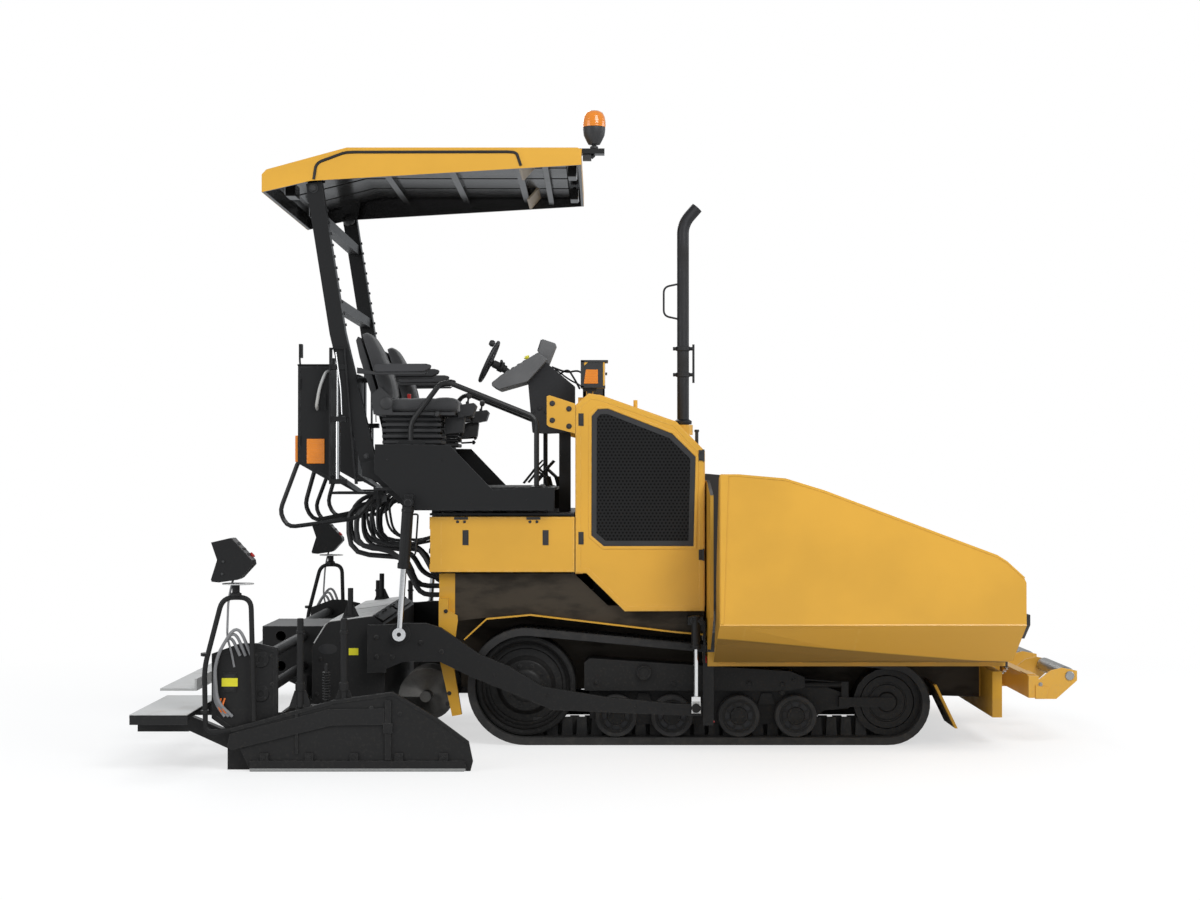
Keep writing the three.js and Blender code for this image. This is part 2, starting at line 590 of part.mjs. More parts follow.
function seatFrame() {
  const base = box(-1230, -950, SEAT_Y - 175, SEAT_Y + 175, DECK_TOP + CLEARANCE, 1730);
  const bellows = [[1728, 1765, 150], [1765, 1800, 170], [1800, 1835, 150], [1835, 1870, 170], [1870, 1898, 155]]
    .map(([low, high, half]) => box(-1260, -910, SEAT_Y - half, SEAT_Y + half, low, high));
  const pan = box(-1292, -830, SEAT_Y - 215, SEAT_Y + 215, 1895, 1913);
  const shell = sidePlate([
    [-1290, 1896], [-1275, 1905], [-1395, 2290], [-1412, 2290],
  ], SEAT_Y - 190, SEAT_Y + 190);
  const cross = rodY(-1368, 2150, 16, SEAT_Y - 310, SEAT_Y + 310, 10);
  const arms = [-1, 1].flatMap((side) => {
    const y = SEAT_Y + side * 280;
    return [box(-1262, -1000, y - 30, y + 30, 2132, 2188), box(-1380, -1255, y - 14, y + 14, 2136, 2164)];
  });
  return join(base, bellows, pan, shell, cross, arms);
}

function seatPad() {
  const lift = 1913 + CLEARANCE;
  return sidePlate([
    [-1240, lift], [-830, lift], [-812, 1950], [-825, 1998], [-860, 2005], [-1175, 1995], [-1190, 2010],
    [-1300, 2350], [-1325, 2372], [-1372, 2366], [-1382, 2340], [-1262, 1925],
  ], SEAT_Y - 200, SEAT_Y + 200);
}

const CONSOLE_Y = -350;
const STEERING = { x: -666, z: 2233, r: 127, tube: 11, tilt: Math.atan2(246, 118) };
const steeringAxis = [Math.sin(STEERING.tilt), -Math.cos(STEERING.tilt)];   // down and forward, [x, z]

function consolePost() {
  const low = CONSOLE_Y - 180;
  const high = CONSOLE_Y + 180;
  const body = sidePlate([
    [-595, 2135], [-367, 2279], [-307, 2234], [-427, 2105], [-595, 2054], [-645, 2095],
  ], low, high);
  const display = sidePlate([
    [-350, 2250], [-372, 2290], [-348, 2363], [-261, 2333], [-306, 2214], [-330, 2215],
  ], CONSOLE_Y - 90, CONSOLE_Y + 110);
  const support = sidePlate([
    [-430, 2110], [-403, 1806], [-147, 1806], [-147, 2114], [-330, 2230],
  ], CONSOLE_Y - 95, CONSOLE_Y + 95);
  const column = box(-245, -175, CONSOLE_Y - 45, CONSOLE_Y + 45, 1332 + CLEARANCE, 1815);
  const onAxis = (reach) => [STEERING.x + reach * steeringAxis[0], CONSOLE_Y, STEERING.z + reach * steeringAxis[1]];
  const boss = strut(onAxis(24 + CLEARANCE), onAxis(110), 24);
  const neck = strut(onAxis(92), [-505, CONSOLE_Y, 2130], 22);
  return join(body, display, support, column, boss, neck);
}

function steeringWheel() {
  const rim = new THREE.TorusGeometry(STEERING.r, STEERING.tube, 6, 18);
  const spokes = [0, 1, 2].map((i) => box(-9, 9, 0, STEERING.r, -5, 5).rotateZ((i * 2 * Math.PI) / 3));
  const hub = rod(30, 36, 12).rotateX(Math.PI / 2).translate(0, 0, -12);
  const wheel = join(rim, spokes, hub);
  const turn = new THREE.Matrix4().makeBasis(
    new THREE.Vector3(0, 1, 0), new THREE.Vector3(-steeringAxis[1], 0, steeringAxis[0]),
    new THREE.Vector3(steeringAxis[0], 0, steeringAxis[1]));
  return wheel.applyMatrix4(turn).translate(STEERING.x, CONSOLE_Y, STEERING.z);
}

add('operator_deck', CHARCOAL, operatorDeck());
addPair('handrail', CHARCOAL, handrail());
addPair('seat_frame', BLACK, seatFrame());
addPair('seat_pad', FABRIC, seatPad());
add('console', BLACK, consolePost());
add('steering_wheel', BLACK, steeringWheel());

// ---------------------------------------------------------------- rear cabinets and canopy
function rearCabinet() {
  const y0 = 440;
  const y1 = POST.inner - 12;
  const shell = sidePlate([[-1754, 1620], [-1553, 1507], [-1553, 2190], [-1754, 2190]], y0, y1);
  const tubeOf = (points, y) => tube(points.map(([x, z]) => [x, y, z]), 14, 50);
  const outerRail = tubeOf([
    [-1740, 1640], [-1761, 1619], [-1866, 1337], [-1817, 1248], [-1415, 1300], [DECK.rear - 20, 1430],
  ], y1 - 40);
  const innerRail = tubeOf([
    [-1690, 1600], [-1754, 1370], [-1700, 1280], [-1420, 1340], [DECK.rear - 20, 1470],
  ], y0 + 40);
  const foot = box(-1560, DECK.rear - CLEARANCE, y0, y1, 1440, 1455);
  const rise = sidePlate([[-1400, 1441], [-1385, 1441], [-1560, 1560], [-1560, 1530]], y0, y1);
  const heel = box(DECK.rear - 25, DECK.rear - CLEARANCE, y0, y1, 1415, DECK_TOP);
  return join(shell, outerRail, innerRail, foot, rise, heel);
}

function canopyPosts() {
  const line = [
    [CANOPY_PIVOT.x, CANOPY_PIVOT.z - 20], [-1514, 2379], [-1629, ROOF_PIVOT.z - 130],
    [ROOF_PIVOT.x, ROOF_PIVOT.z + 20],
  ];
  const half = POST.width / 2;
  const outline = ribbon(line.map(([x, z]) => [x + half, z]), POST.width);
  const post = sidePlate(outline, POST.inner, POST.outer);
  const bar = (z) => {
    const i = line.findIndex(([, top]) => top > z);
    const x = line[i - 1][0] + ((line[i][0] - line[i - 1][0]) * (z - line[i - 1][1])) / (line[i][1] - line[i - 1][1]);
    return box(x - 30, x + 30, -POST.inner - 5, POST.inner + 5, z - 30, z + 30);
  };
  return join(bothSides(post), bar(2550), bar(ROOF_PIVOT.z - 195));
}

function canopyRoof() {
  const outer = [
    [CANOPY.front, CANOPY.top - 99], [CANOPY.front, CANOPY.top - 11], [CANOPY.front - 22, CANOPY.top],
    [-1457, CANOPY.top], [-1918, CANOPY.top - 126],
    [CANOPY.rear, CANOPY.top - 155], [CANOPY.rear, CANOPY.top - 257], [-1667, CANOPY.top - 192],
  ];
  const t = CANOPY.sheet;
  const inner = [
    [CANOPY.front - t, CANOPY.top - 135], [CANOPY.front - t, CANOPY.top - 23], [-130, CANOPY.top - t],
    [-1455, CANOPY.top - t], [-1908, CANOPY.top - 141],
    [CANOPY.rear + t, CANOPY.top - 165], [CANOPY.rear + t, CANOPY.top - 335], [-1667, CANOPY.top - 255],
  ];
  const shell = cut(sidePlate(outer, -CANOPY.half, CANOPY.half), sidePlate(inner, -CANOPY.half + t, CANOPY.half - t));
  const rib = (x) => box(x, x + 40, -CANOPY.half + t - 3, CANOPY.half - t + 3, CANOPY.top - 85, CANOPY.top - 15);
  const lug = bothSides(sidePlate([
    [ROOF_PIVOT.x - 60, CANOPY.top - 35], [ROOF_PIVOT.x - 40, CANOPY.top - 245],
    [ROOF_PIVOT.x + 40, CANOPY.top - 245], [ROOF_PIVOT.x + 90, CANOPY.top - 10],
  ], POST.inner - CLEARANCE - 14, POST.inner - CLEARANCE));
  const solidLug = toGeometry(toSolid(join(lug)).intersect(toSolid(sidePlate(outer, -CANOPY.half, CANOPY.half))));
  const lugTips = bothSides(box(
    ROOF_PIVOT.x - 38, ROOF_PIVOT.x + 38, POST.inner - CLEARANCE - 14, POST.inner - CLEARANCE,
    CANOPY.top - 243, CANOPY.top - 145));
  return join(shell, rib(-500), rib(-900), rib(-1300), solidLug, lugTips);
}

const BEACON = { x: -34, y: -CANOPY.half + 75, r: 70, base: CANOPY.top + 1 };

function beacon() {
  const dome = turned([[0, 0], [70, 0], [70, 42], [62, 48], [58, 150], [40, 205], [0, 225]], 16);
  return dome.rotateX(Math.PI / 2).translate(BEACON.x, BEACON.y, BEACON.base);
}

function beaconBracket() {
  return box(CANOPY.front - 40, BEACON.x + 60, BEACON.y - 40, BEACON.y + 40, BEACON.base - 30, BEACON.base - CLEARANCE);
}

addPair('rear_cabinet', CHARCOAL, rearCabinet());
add('canopy_posts', CHARCOAL, canopyPosts());
add('canopy_roof', YELLOW, join(canopyRoof(), beaconBracket()));
add('beacon', AMBER, beacon());

// ---------------------------------------------------------------- augers
function auger() {
  const span = AUGER.outer - AUGER.inner;
  const steps = Math.round(AUGER.turns * 12);
  const vertices = [];
  const faces = [];
  for (let i = 0; i <= steps; i += 1) {
    const angle = (2 * Math.PI * AUGER.turns * i) / steps;
    const y = AUGER.inner + (span - AUGER.blade) * (i / steps);
    [[AUGER.shaft - 6, 0], [AUGER.r, 0], [AUGER.r, AUGER.blade], [AUGER.shaft - 6, AUGER.blade]].forEach(([r, dy]) => {
      vertices.push(AUGER.x + r * Math.cos(angle), y + dy, AUGER.z + r * Math.sin(angle));
    });
  }
  for (let i = 0; i < steps; i += 1) {
    for (let k = 0; k < 4; k += 1) {
      const next = (k + 1) % 4;
      const [a, b, c, d] = [4 * i + k, 4 * i + next, 4 * i + 4 + next, 4 * i + 4 + k];
      faces.push(a, b, c, a, c, d);
    }
  }
  const end = 4 * steps;
  faces.push(0, 2, 1, 0, 3, 2, end, end + 1, end + 2, end, end + 2, end + 3);
  const flight = new THREE.BufferGeometry();
  flight.setAttribute('position', new THREE.Float32BufferAttribute(vertices, 3));
  flight.setIndex(faces);
  const shaft = rodY(AUGER.x, AUGER.z, AUGER.shaft, 45 + CLEARANCE, AUGER.outer, 16);
  return join(flight, shaft);
}

addPair('auger', STEEL, auger());

// ---------------------------------------------------------------- tow arms and their cylinders
const armOuter = ARM.inner + ARM.thick;
const armMiddle = ARM.inner + ARM.thick / 2;

function towCylinder() {
  const barrel = rodZ(TOW_PIN.x, armMiddle, 26, 562, 752, 18);
  const bracket = box(500, 585, BODY_HALF - 50 + CLEARANCE, armMiddle + 15, 700, 745);
  const bore = rodZ(TOW_PIN.x, armMiddle, 15, 555, 690, 20);
  const guide = box(590, 602, BODY_HALF + 5, ARM.inner - 14, 124, 720);
  const guideFace = box(588, 648, ARM.inner - 26, ARM.inner - 14, 124, 511);
  const tie = box(560, 602, BODY_HALF - 50 + CLEARANCE, ARM.inner - 14, 660, 720);
  return join(cut(barrel, bore), bracket, guide, guideFace, tie);
}

function towRod() {
  const piston = rodZ(TOW_PIN.x, armMiddle, 14, 285, 580, 14);
  const bridge = box(520, 570, ARM.inner - 7, armOuter + 11, 262, 293);
  const cheeks = [[ARM.inner - 7, ARM.inner - 1], [armOuter + 3, armOuter + 11]]
    .map(([low, high]) => box(520, 570, low, high, 200, 270));
  return join(piston, bridge, cheeks);
}

function towArm() {
  const outline = [
    [-1222, 450], [-1113, 492], [-912, 492], [-737, 408], [-268, 218], [524, 185], [575, 185], [582, 250],
    [431, 252], [15, 293], [-325, 350], [-514, 464], [-684, 533], [-904, 684], [-988, 709], [-1113, 709],
    [-1225, 700],
  ];
  const arm = sidePlate(outline, ARM.inner, armOuter);
  const heel = box(-1322, -1215, ARM.inner, armOuter, 430, 700);
  const flange = box(-1322, -1245, SCREED.half + CLEARANCE, ARM.inner + 5, 440, 690);
  return join(arm, heel, flange);
}

function liftCylinder() {
  const [tx, tz] = LIFT.top;
  const [bx, bz] = LIFT.bottom;
  const at = (z) => [tx + ((bx - tx) * (tz - z)) / (tz - bz), LIFT.y, z];
  const barrel = cut(strut(at(1370), at(1025), 33, 18), strut(at(1220), at(1000), 18, 20));
  const eye = rodY(tx, tz, 30, LIFT.y - 21.7, LIFT.y + 20, 18);
  const stem = strut(at(1380), at(1340), 20, 14);
  return join(barrel, eye, stem);
}

function liftRod() {
  const [tx, tz] = LIFT.top;
  const [bx, bz] = LIFT.bottom;
  const at = (z) => [tx + ((bx - tx) * (tz - z)) / (tz - bz), LIFT.y, z];
  const piston = strut(at(1045), at(670), 17, 14);
  const eye = rodY(bx, bz, 38, armOuter + CLEARANCE, LIFT.y + 22, 18);
  return join(piston, eye);
}

addPair('tow_cylinder', CHARCOAL, towCylinder());
addPair('tow_rod', CHROME, towRod());
addPair('tow_arm', CHARCOAL, towArm());
addPair('lift_cylinder', CHARCOAL, liftCylinder());
addPair('lift_rod', CHROME, liftRod());

// ---------------------------------------------------------------- screed
const GUIDE = { rightX: -1790, leftX: -1925, low: 400, high: 580, r: 30 };

function screedBody() {
  const walls = bothSides(sidePlate([
    [SCREED.front, 40], [-1260, 0], [SCREED.rear, 0], [SCREED.rear, 560], [-1560, 700], [-1300, SCREED.top],
    [SCREED.front, 690],
  ], SCREED.half - 16, SCREED.half));
  const front = sidePlate([[SCREED.front, 40], [SCREED.front, 690], [-1251, 690], [-1251, 40]], -SCREED.half, SCREED.half);
  const sole = sidePlate([
    [SCREED.front, 40], [-1260, 0], [SCREED.rear, 0], [SCREED.rear, 60], [SCREED.front, 60],
  ], -SCREED.half, SCREED.half);
  const rear = cut(
    box(SCREED.rear, SCREED.rear + 16, -SCREED.half, SCREED.half, 0, 560),
    bothSides(box(SCREED.rear - 5, SCREED.rear + 21, 360, 800, 340, 520)));
  const cover = sidePlate([
    [SCREED.rear, 550], [SCREED.rear, 565], [-1560, 706], [-1300, SCREED.top], [SCREED.front, 694],
    [SCREED.front, 680], [-1300, SCREED.top - 14], [-1555, 692],
  ], -SCREED.half, SCREED.half);
  const block = cut(
    box(EXTENSION.rear + 10, SCREED.rear + 5, -300, 300, 345, 640),
    [[GUIDE.rightX, GUIDE.low], [GUIDE.rightX, GUIDE.high], [GUIDE.leftX, GUIDE.low], [GUIDE.leftX, GUIDE.high]]
      .map(([x, z]) => rodY(x, z, GUIDE.r + 1, -310, 310, 20)));
  return join(walls, front, sole, rear, cover, block);
}

function walkwayMain() {
  const tread = box(WALK.rear, WALK.front, -WALK.half, WALK.half, WALK.z - WALK.sheet, WALK.z);
  const lip = box(WALK.front - 12, WALK.front, -WALK.half, WALK.half, WALK.z - 5, WALK.z + 55);
  const arm = sidePlate([
    [WALK.front - 30, WALK.z - 12], [WALK.front - 12, WALK.z + 50], [EXTENSION.rear + 10 - CLEARANCE, 560],
    [EXTENSION.rear + 10 - CLEARANCE, 400], [WALK.front + 20, WALK.z - 5],
  ], -90, 90);
  return join(tread, lip, arm);
}

// Sliding extension of one side, with its two guide tubes at guideX.
function extension(guideX) {
  const end = [EXTENSION.outer, EXTENSION.inner];
  const shell = box(EXTENSION.rear + 80, EXTENSION.front, end[1], end[0], 0, EXTENSION.top);
  const hollow = box(EXTENSION.rear + 96, EXTENSION.front - 16, end[1] - 5, end[0] - 16, 60, EXTENSION.top + 5);
  const plate = sidePlate([
    [-2050, 270], [-1700, 20], [-1700, 640], [-1810, 665], [-1900, 665], [-2050, 610],
  ], EXTENSION.outer - 16, EXTENSION.outer);
  const guides = [GUIDE.low, GUIDE.high].map((z) => rodY(guideX, z, GUIDE.r, 20, EXTENSION.outer - 5, 16));
  const tread = box(-2455, -2152, EXTENSION.inner + 105, ENDGATE.inner + 85, 286, 300);
  const treadBox = box(-2440, -2170, EXTENSION.inner + 115, EXTENSION.inner + 175, 200, 290);
  const treadBox2 = box(-2440, -2170, EXTENSION.outer - 60, EXTENSION.outer, 200, 290);
  const stays = [EXTENSION.inner + 115, EXTENSION.outer - 60].map((y) => sidePlate([
    [-2180, 210], [-2180, 290], [EXTENSION.rear + 85, 200], [EXTENSION.rear + 85, 110],
  ], y, y + 60));
  return join(cut(shell, hollow), plate, guides, tread, treadBox, treadBox2, stays);
}

function endgate() {
  const inner = ENDGATE.inner;
  const outer = inner + ENDGATE.thick;
  const plate = sidePlate([
    [-1836, 0], [-680, 0], [-667, 50], [-689, 155], [-858, 280], [-1087, 415], [-1400, 372], [-1938, 225],
  ], inner, outer);
  const shoe = box(-1836, -700, inner - 15, outer + 15, 0, 55);
  const posts = [-1577, -1347].map((x) => rodZ(x, inner - 2, 17, 330, 800, 12));
  const bridge = box(-1600, -1320, EXTENSION.outer + CLEARANCE, inner + 5, 300, 345);
  const link = box(-1830, -1580, EXTENSION.outer + CLEARANCE, inner + 5, 120, 250);
  const y = inner + 5;
  const loop = tube([
    [-1930, y, 215], [-2073, y, 195], [-2080, y, 540], [-1985, y, 910], [-1836, y, 910], [-1818, y, 260],
  ], 13.5, 60);
  const neck = box(-1935, -1895, y - 20, y + 20, 905, 1010);
  const controlBox = box(-2040, -1822, y - 90, y + 40, 1000, 1235);
  return join(plate, shoe, posts, bridge, link, loop, neck, controlBox);
}

function hoses() {
  const run = (y, points) => tube(points.map(([x, z], i) => [x, y + 6 * Math.min(i, 4), z]), 17, 130);
  const foot = REAR_X - CLEARANCE;
  const hoseA = run(560, [[-1298, 1395], [-1480, 1360], [-1480, 1090], [-1130, 1065], [-1080, 900], [foot, 900]]);
  const hoseB = run(600, [[-1298, 1395], [-1430, 1340], [-1430, 1130], [-1190, 1110], [-1050, 850], [foot, 850]]);
  const clamp = box(-1310, -1292, 530, 650, 1365, 1415 - CLEARANCE);
  return join(hoseA, hoseB, clamp);
}

add('screed_body', CHARCOAL, screedBody());
add('walkway_main', GREY, walkwayMain());
add('extension_L', CHARCOAL, extension(GUIDE.leftX));
add('extension_R', CHARCOAL, extension(GUIDE.rightX)).scale.y = -1;
addPair('endgate', CHARCOAL, endgate());
addPair('hydraulic_hoses', RUBBER, hoses());

export default paver;
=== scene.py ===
"""Looks of a small tracked asphalt paver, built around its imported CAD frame."""
import math

import bmesh
import bpy
from mathutils import Matrix, Vector


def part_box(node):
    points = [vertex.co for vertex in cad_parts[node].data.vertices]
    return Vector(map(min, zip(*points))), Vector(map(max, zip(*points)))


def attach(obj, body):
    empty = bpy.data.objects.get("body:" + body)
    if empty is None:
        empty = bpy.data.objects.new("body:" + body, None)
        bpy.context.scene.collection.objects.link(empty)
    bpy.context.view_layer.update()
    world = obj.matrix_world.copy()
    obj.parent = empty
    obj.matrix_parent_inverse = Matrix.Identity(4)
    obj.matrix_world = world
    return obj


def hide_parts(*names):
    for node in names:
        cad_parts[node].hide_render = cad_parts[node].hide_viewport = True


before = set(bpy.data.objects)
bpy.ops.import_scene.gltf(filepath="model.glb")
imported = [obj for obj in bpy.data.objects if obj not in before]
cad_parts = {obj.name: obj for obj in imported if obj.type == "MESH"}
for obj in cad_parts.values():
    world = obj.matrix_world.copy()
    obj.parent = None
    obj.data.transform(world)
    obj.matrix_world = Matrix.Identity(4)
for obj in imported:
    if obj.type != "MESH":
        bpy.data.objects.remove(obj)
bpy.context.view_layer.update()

# Everything below is placed from this datum, a plumb line ahead of which the push rollers end.
ROLLER_REACH = 2.74
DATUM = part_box("push_roller_R")[1].x - ROLLER_REACH
SIDES = {"L": 1, "R": -1}
BODY = {"L": "left", "R": "right"}
AHEAD, OUT, UP = (1, 0, 0), (0, 1, 0), (0, 0, 1)


# ---------------------------------------------------------------- shader language
class Signal:
    """One output of a node. Arithmetic on it adds Math nodes to its material."""

    def __init__(self, finish, socket):
        self.finish, self.socket = finish, socket

    def math(self, operation, *others):
        values = {i: value for i, value in enumerate((self,) + others)}
        return self.finish.node("Math", {"operation": operation}, values).out()

    def flipped(self, operation, first):
        return self.finish.node("Math", {"operation": operation}, {0: first, 1: self}).out()

    def __add__(self, other):
        return self.math("ADD", other)

    def __sub__(self, other):
        return self.math("SUBTRACT", other)

    def __mul__(self, other):
        return self.math("MULTIPLY", other)

    def __rsub__(self, other):
        return self.flipped("SUBTRACT", other)

    __radd__, __rmul__ = __add__, __mul__

    def clamped(self, low=0.0, high=1.0):
        node = self.finish.node("Clamp", {}, {"Value": self, "Min": low, "Max": high})
        return node.out()

    def ramp(self, start, end):
        values = {"Value": self, "From Min": start, "From Max": end}
        return self.finish.node("MapRange", {"interpolation_type": "SMOOTHSTEP"}, values).out()


class Node:
    """A node whose outputs are read as signals."""

    def __init__(self, finish, node):
        self.finish, self.node = finish, node

    def out(self, name=0):
        return Signal(self.finish, self.node.outputs[name])


class Finish:
    """One node material around a Principled shader."""

    def __init__(self, name, **constants):
        self.material = bpy.data.materials.new(name)
        self.material.use_nodes = True
        self.tree = self.material.node_tree
        self.tree.nodes.clear()
        self.shader = self.node("BsdfPrincipled", {}, {k.replace("_", " "): v for k, v in constants.items()})
        self.node("OutputMaterial", {}, {"Surface": self.shader.out()})
        self.place = self.node("TexCoord").out("Object")
        self.facing = self.node("TexCoord").out("Normal")

    def node(self, kind, settings=None, values=None):
        made = self.tree.nodes.new("ShaderNode" + kind)
        for key, value in (settings or {}).items():
            setattr(made, key, value)
        for key, value in (values or {}).items():
            self.feed(made.inputs[key], value)
        return Node(self, made)

    def feed(self, socket, value):
        if isinstance(value, Signal):
            self.tree.links.new(value.socket, socket)
        elif isinstance(value, (tuple, list)) and socket.type == "RGBA":
            socket.default_value = (*value[:3], 1.0)
        else:
            socket.default_value = value

    def set(self, **values):
        for key, value in values.items():
            self.feed(self.shader.node.inputs[key.replace("_", " ")], value)
        return self

    def part(self, axis, vector=None):
        return self.node("SeparateXYZ", {}, {0: vector or self.place}).out(axis)

    def noise(self, scale, detail=3.0, stretch=None):
        place = self.place
        if stretch:
            place = self.node("Mapping", {}, {"Vector": place, "Scale": stretch}).out()
        return self.node("TexNoise", {}, {"Vector": place, "Scale": scale, "Detail": detail}).out("Fac")

    def mix(self, amount, first, second):
        values = {"Factor": amount, 6: first, 7: second}
        return self.node("Mix", {"data_type": "RGBA"}, values).out(2)

    def mottled(self, tone, colour, dark, light):
        return self.mix(tone.ramp(0.3, 0.7), tint(colour, dark), tint(colour, light))

    def worn_highlit_edge(self, radius, soft=0.35):
        """High where an edge is sharp, broken up by a grain: edge wear and a painted edge highlight in one mask."""
        rounded = self.node("Bevel", {"samples": 4}, {"Radius": radius}).out()
        true = self.node("NewGeometry").out("Normal")
        along = self.node("VectorMath", {"operation": "DOT_PRODUCT"}, {0: rounded, 1: true}).out("Value")
        return ((1.0 - along) * 4.0 * self.noise(38.0).ramp(soft, 0.7)).clamped()

    def bump(self, height, strength, distance=0.002):
        values = {"Height": height, "Strength": strength, "Distance": distance}
        return self.set(Normal=self.node("Bump", {}, values).out())


def tint(colour, by):
    return tuple(min(1.0, max(0.0, c * by)) for c in colour)


# ---------------------------------------------------------------- finishes
YELLOW = (0.68, 0.355, 0.03)
CHARCOAL = (0.01, 0.01, 0.0103)
BLACK = (0.006, 0.006, 0.0063)
DUST = (0.27, 0.235, 0.19)
RESIDUE = (0.012, 0.011, 0.01)
# Edge colours paler than the paint, for edge wear and a painted edge highlight; WORN_PLATE is the bare plate inside the
# hopper.
WORN_HIGHLIT_YELLOW, WORN_HIGHLIT_CHARCOAL, WORN_PLATE = (0.86, 0.6, 0.2), (0.075, 0.075, 0.077), (0.045, 0.043, 0.04)
HOLE_PITCH, THREADS, LENS_RIBS = 0.0185, 2400.0, 420.0
ROOF_FRONT = -0.107


def sprayed(name, colour, rough, coat, edge, dirt=0.35, peel=0.06, shine=0.5):
    """Sprayed paint: broad tone change, orange peel, paler edges that are partly wear and partly a painted highlight,
    and road dust low down.
    """
    f = Finish(name, Coat_Roughness=0.16, Specular_IOR_Level=shine)
    tone = f.noise(1.6, 4.0)
    speck = f.noise(70.0, 6.0).ramp(0.5, 0.8)
    low = 1.0 - f.part("Z").ramp(0.0, 1.1)
    dust = ((speck * 0.5 + 0.12) * low * dirt).clamped()
    base = f.mottled(tone, colour, 0.93, 1.06)
    wear_and_highlight = f.worn_highlit_edge(0.006)
    base = f.mix(wear_and_highlight * 0.6, base, edge)
    f.set(Base_Color=f.mix(dust, base, DUST), Metallic=0.0)
    f.set(Roughness=(tone * 0.12 + rough + dust * 0.4).clamped(), Coat_Weight=coat * (1.0 - dust))
    return f.bump(f.noise(160.0, 2.0), peel, 0.0006)


def two_sided(name, colour, inner, axis, sign, rough, coat, edge):
    """Paint outside and bare worn plate on the faces turned one way, as on the hopper and the roof. Faces turned down
    get painted shade, and below a slanted line a near-black painted shadow.
    """
    f = Finish(name, Coat_Roughness=0.16)
    turned_in = (f.part(axis, f.facing) * sign).ramp(-0.1, 0.15)
    tone = f.noise(1.8, 4.0)
    smear = f.noise(3.2, 6.0, (1.0, 3.0, 0.6)).ramp(0.4, 0.66)
    out = f.mottled(tone, colour, 0.93, 1.05)
    # Paler edges: edge wear and a painted edge highlight.
    out = f.mix(f.worn_highlit_edge(0.004) * 0.3, out, edge)
    # Painted shade: faces turned down are darkened a little, and below a slanted line across the side they are painted
    # near-black as a painted shadow crease.
    shaded_down_faces = 1.0 - f.part("Z", f.facing).ramp(-0.25, -0.15)
    painted_shadow_wedge = 1.0 - (f.part("Z") + (f.part("X") - DATUM) * 0.092).ramp(0.708, 0.718)
    out = f.mix(shaded_down_faces * 0.75, out, tint(colour, 0.92))
    out = f.mix(shaded_down_faces * painted_shadow_wedge * 0.8, out, tint(colour, 0.2))
    inside = f.mix(smear, inner, RESIDUE)
    f.set(Base_Color=f.mix(turned_in, out, inside), Metallic=turned_in * 0.35 * (1.0 - smear))
    f.set(Roughness=tone * 0.1 + rough + (turned_in + shaded_down_faces).clamped() * 0.25,
          Coat_Weight=coat * (1.0 - (turned_in + shaded_down_faces).clamped()))
    return f.bump(f.noise(120.0, 2.0), 0.06, 0.0006)


def canopy_shell(name, colour, lining, rough, coat):
    """Yellow sheet outside and glossy black within: the skin is told by its place and by which way it faces."""
    f = Finish(name, Coat_Roughness=0.12)
    low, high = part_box("canopy_roof")
    front, rear = DATUM + ROOF_FRONT, low.x
    x, y = f.part("X"), f.part("Y").math("ABSOLUTE")
    skin = f.part("Z", f.facing).ramp(0.2, 0.35).math("MAXIMUM", y.ramp(high.y - 0.0025, high.y - 0.0015))
    skin = skin.math("MAXIMUM", x.ramp(front - 0.003, front - 0.002))
    skin = skin.math("MAXIMUM", 1.0 - x.ramp(rear + 0.002, rear + 0.003))
    skin = skin * (1.0 - x.ramp(front + 0.001, front + 0.002))
    tone = f.noise(1.6, 4.0)
    out = f.mottled(tone, colour, 0.95, 1.05)
    f.set(Base_Color=f.mix(skin, lining, out), Roughness=tone * 0.1 + rough - (1.0 - skin) * 0.12,
          Coat_Weight=skin * coat)
    return f.bump(f.noise(140.0, 2.0), 0.04, 0.0006)


def chassis_paint(name, colour, shade, rough):
    """Yellow on the outer edges of the chassis, and painted shade on the plate behind the tracks and under the flaps:
    the shaded yellow is painted dark brown, with grime patches darker still.
    """
    f = Finish(name, Coat_Roughness=0.2, Specular_IOR_Level=0.3)
    x, y = f.part("X"), f.part("Y").math("ABSOLUTE")
    outer = y.ramp(0.834, 0.836).math("MAXIMUM", x.ramp(DATUM + 2.24, DATUM + 2.245))
    outer = outer.math("MAXIMUM", y.ramp(0.8, 0.806) * (1.0 - x.ramp(DATUM - 0.836, DATUM - 0.834)))
    tone = f.noise(2.2, 5.0)
    grime = f.noise(9.0, 6.0, (0.6, 1.0, 1.6)).ramp(0.42, 0.72)
    # Painted shade: the plate behind the tracks and under the flaps is painted dark brown for yellow in deep shade, and
    # grime noise mottles it darker.
    dark = f.mix(grime, shade, tint(shade, 0.45))
    paint = f.mottled(tone, colour, 0.9, 1.03)
    # Paler edges: edge wear and a painted edge highlight.
    paint = f.mix(f.worn_highlit_edge(0.005) * 0.4, paint, (0.8, 0.52, 0.14))
    f.set(Base_Color=f.mix(outer, dark, f.mix(grime * 0.12, paint, DUST)),
          Roughness=(tone * 0.12 + rough + grime * 0.2).clamped())
    return f.bump(f.noise(120.0, 2.0), 0.06, 0.0006)


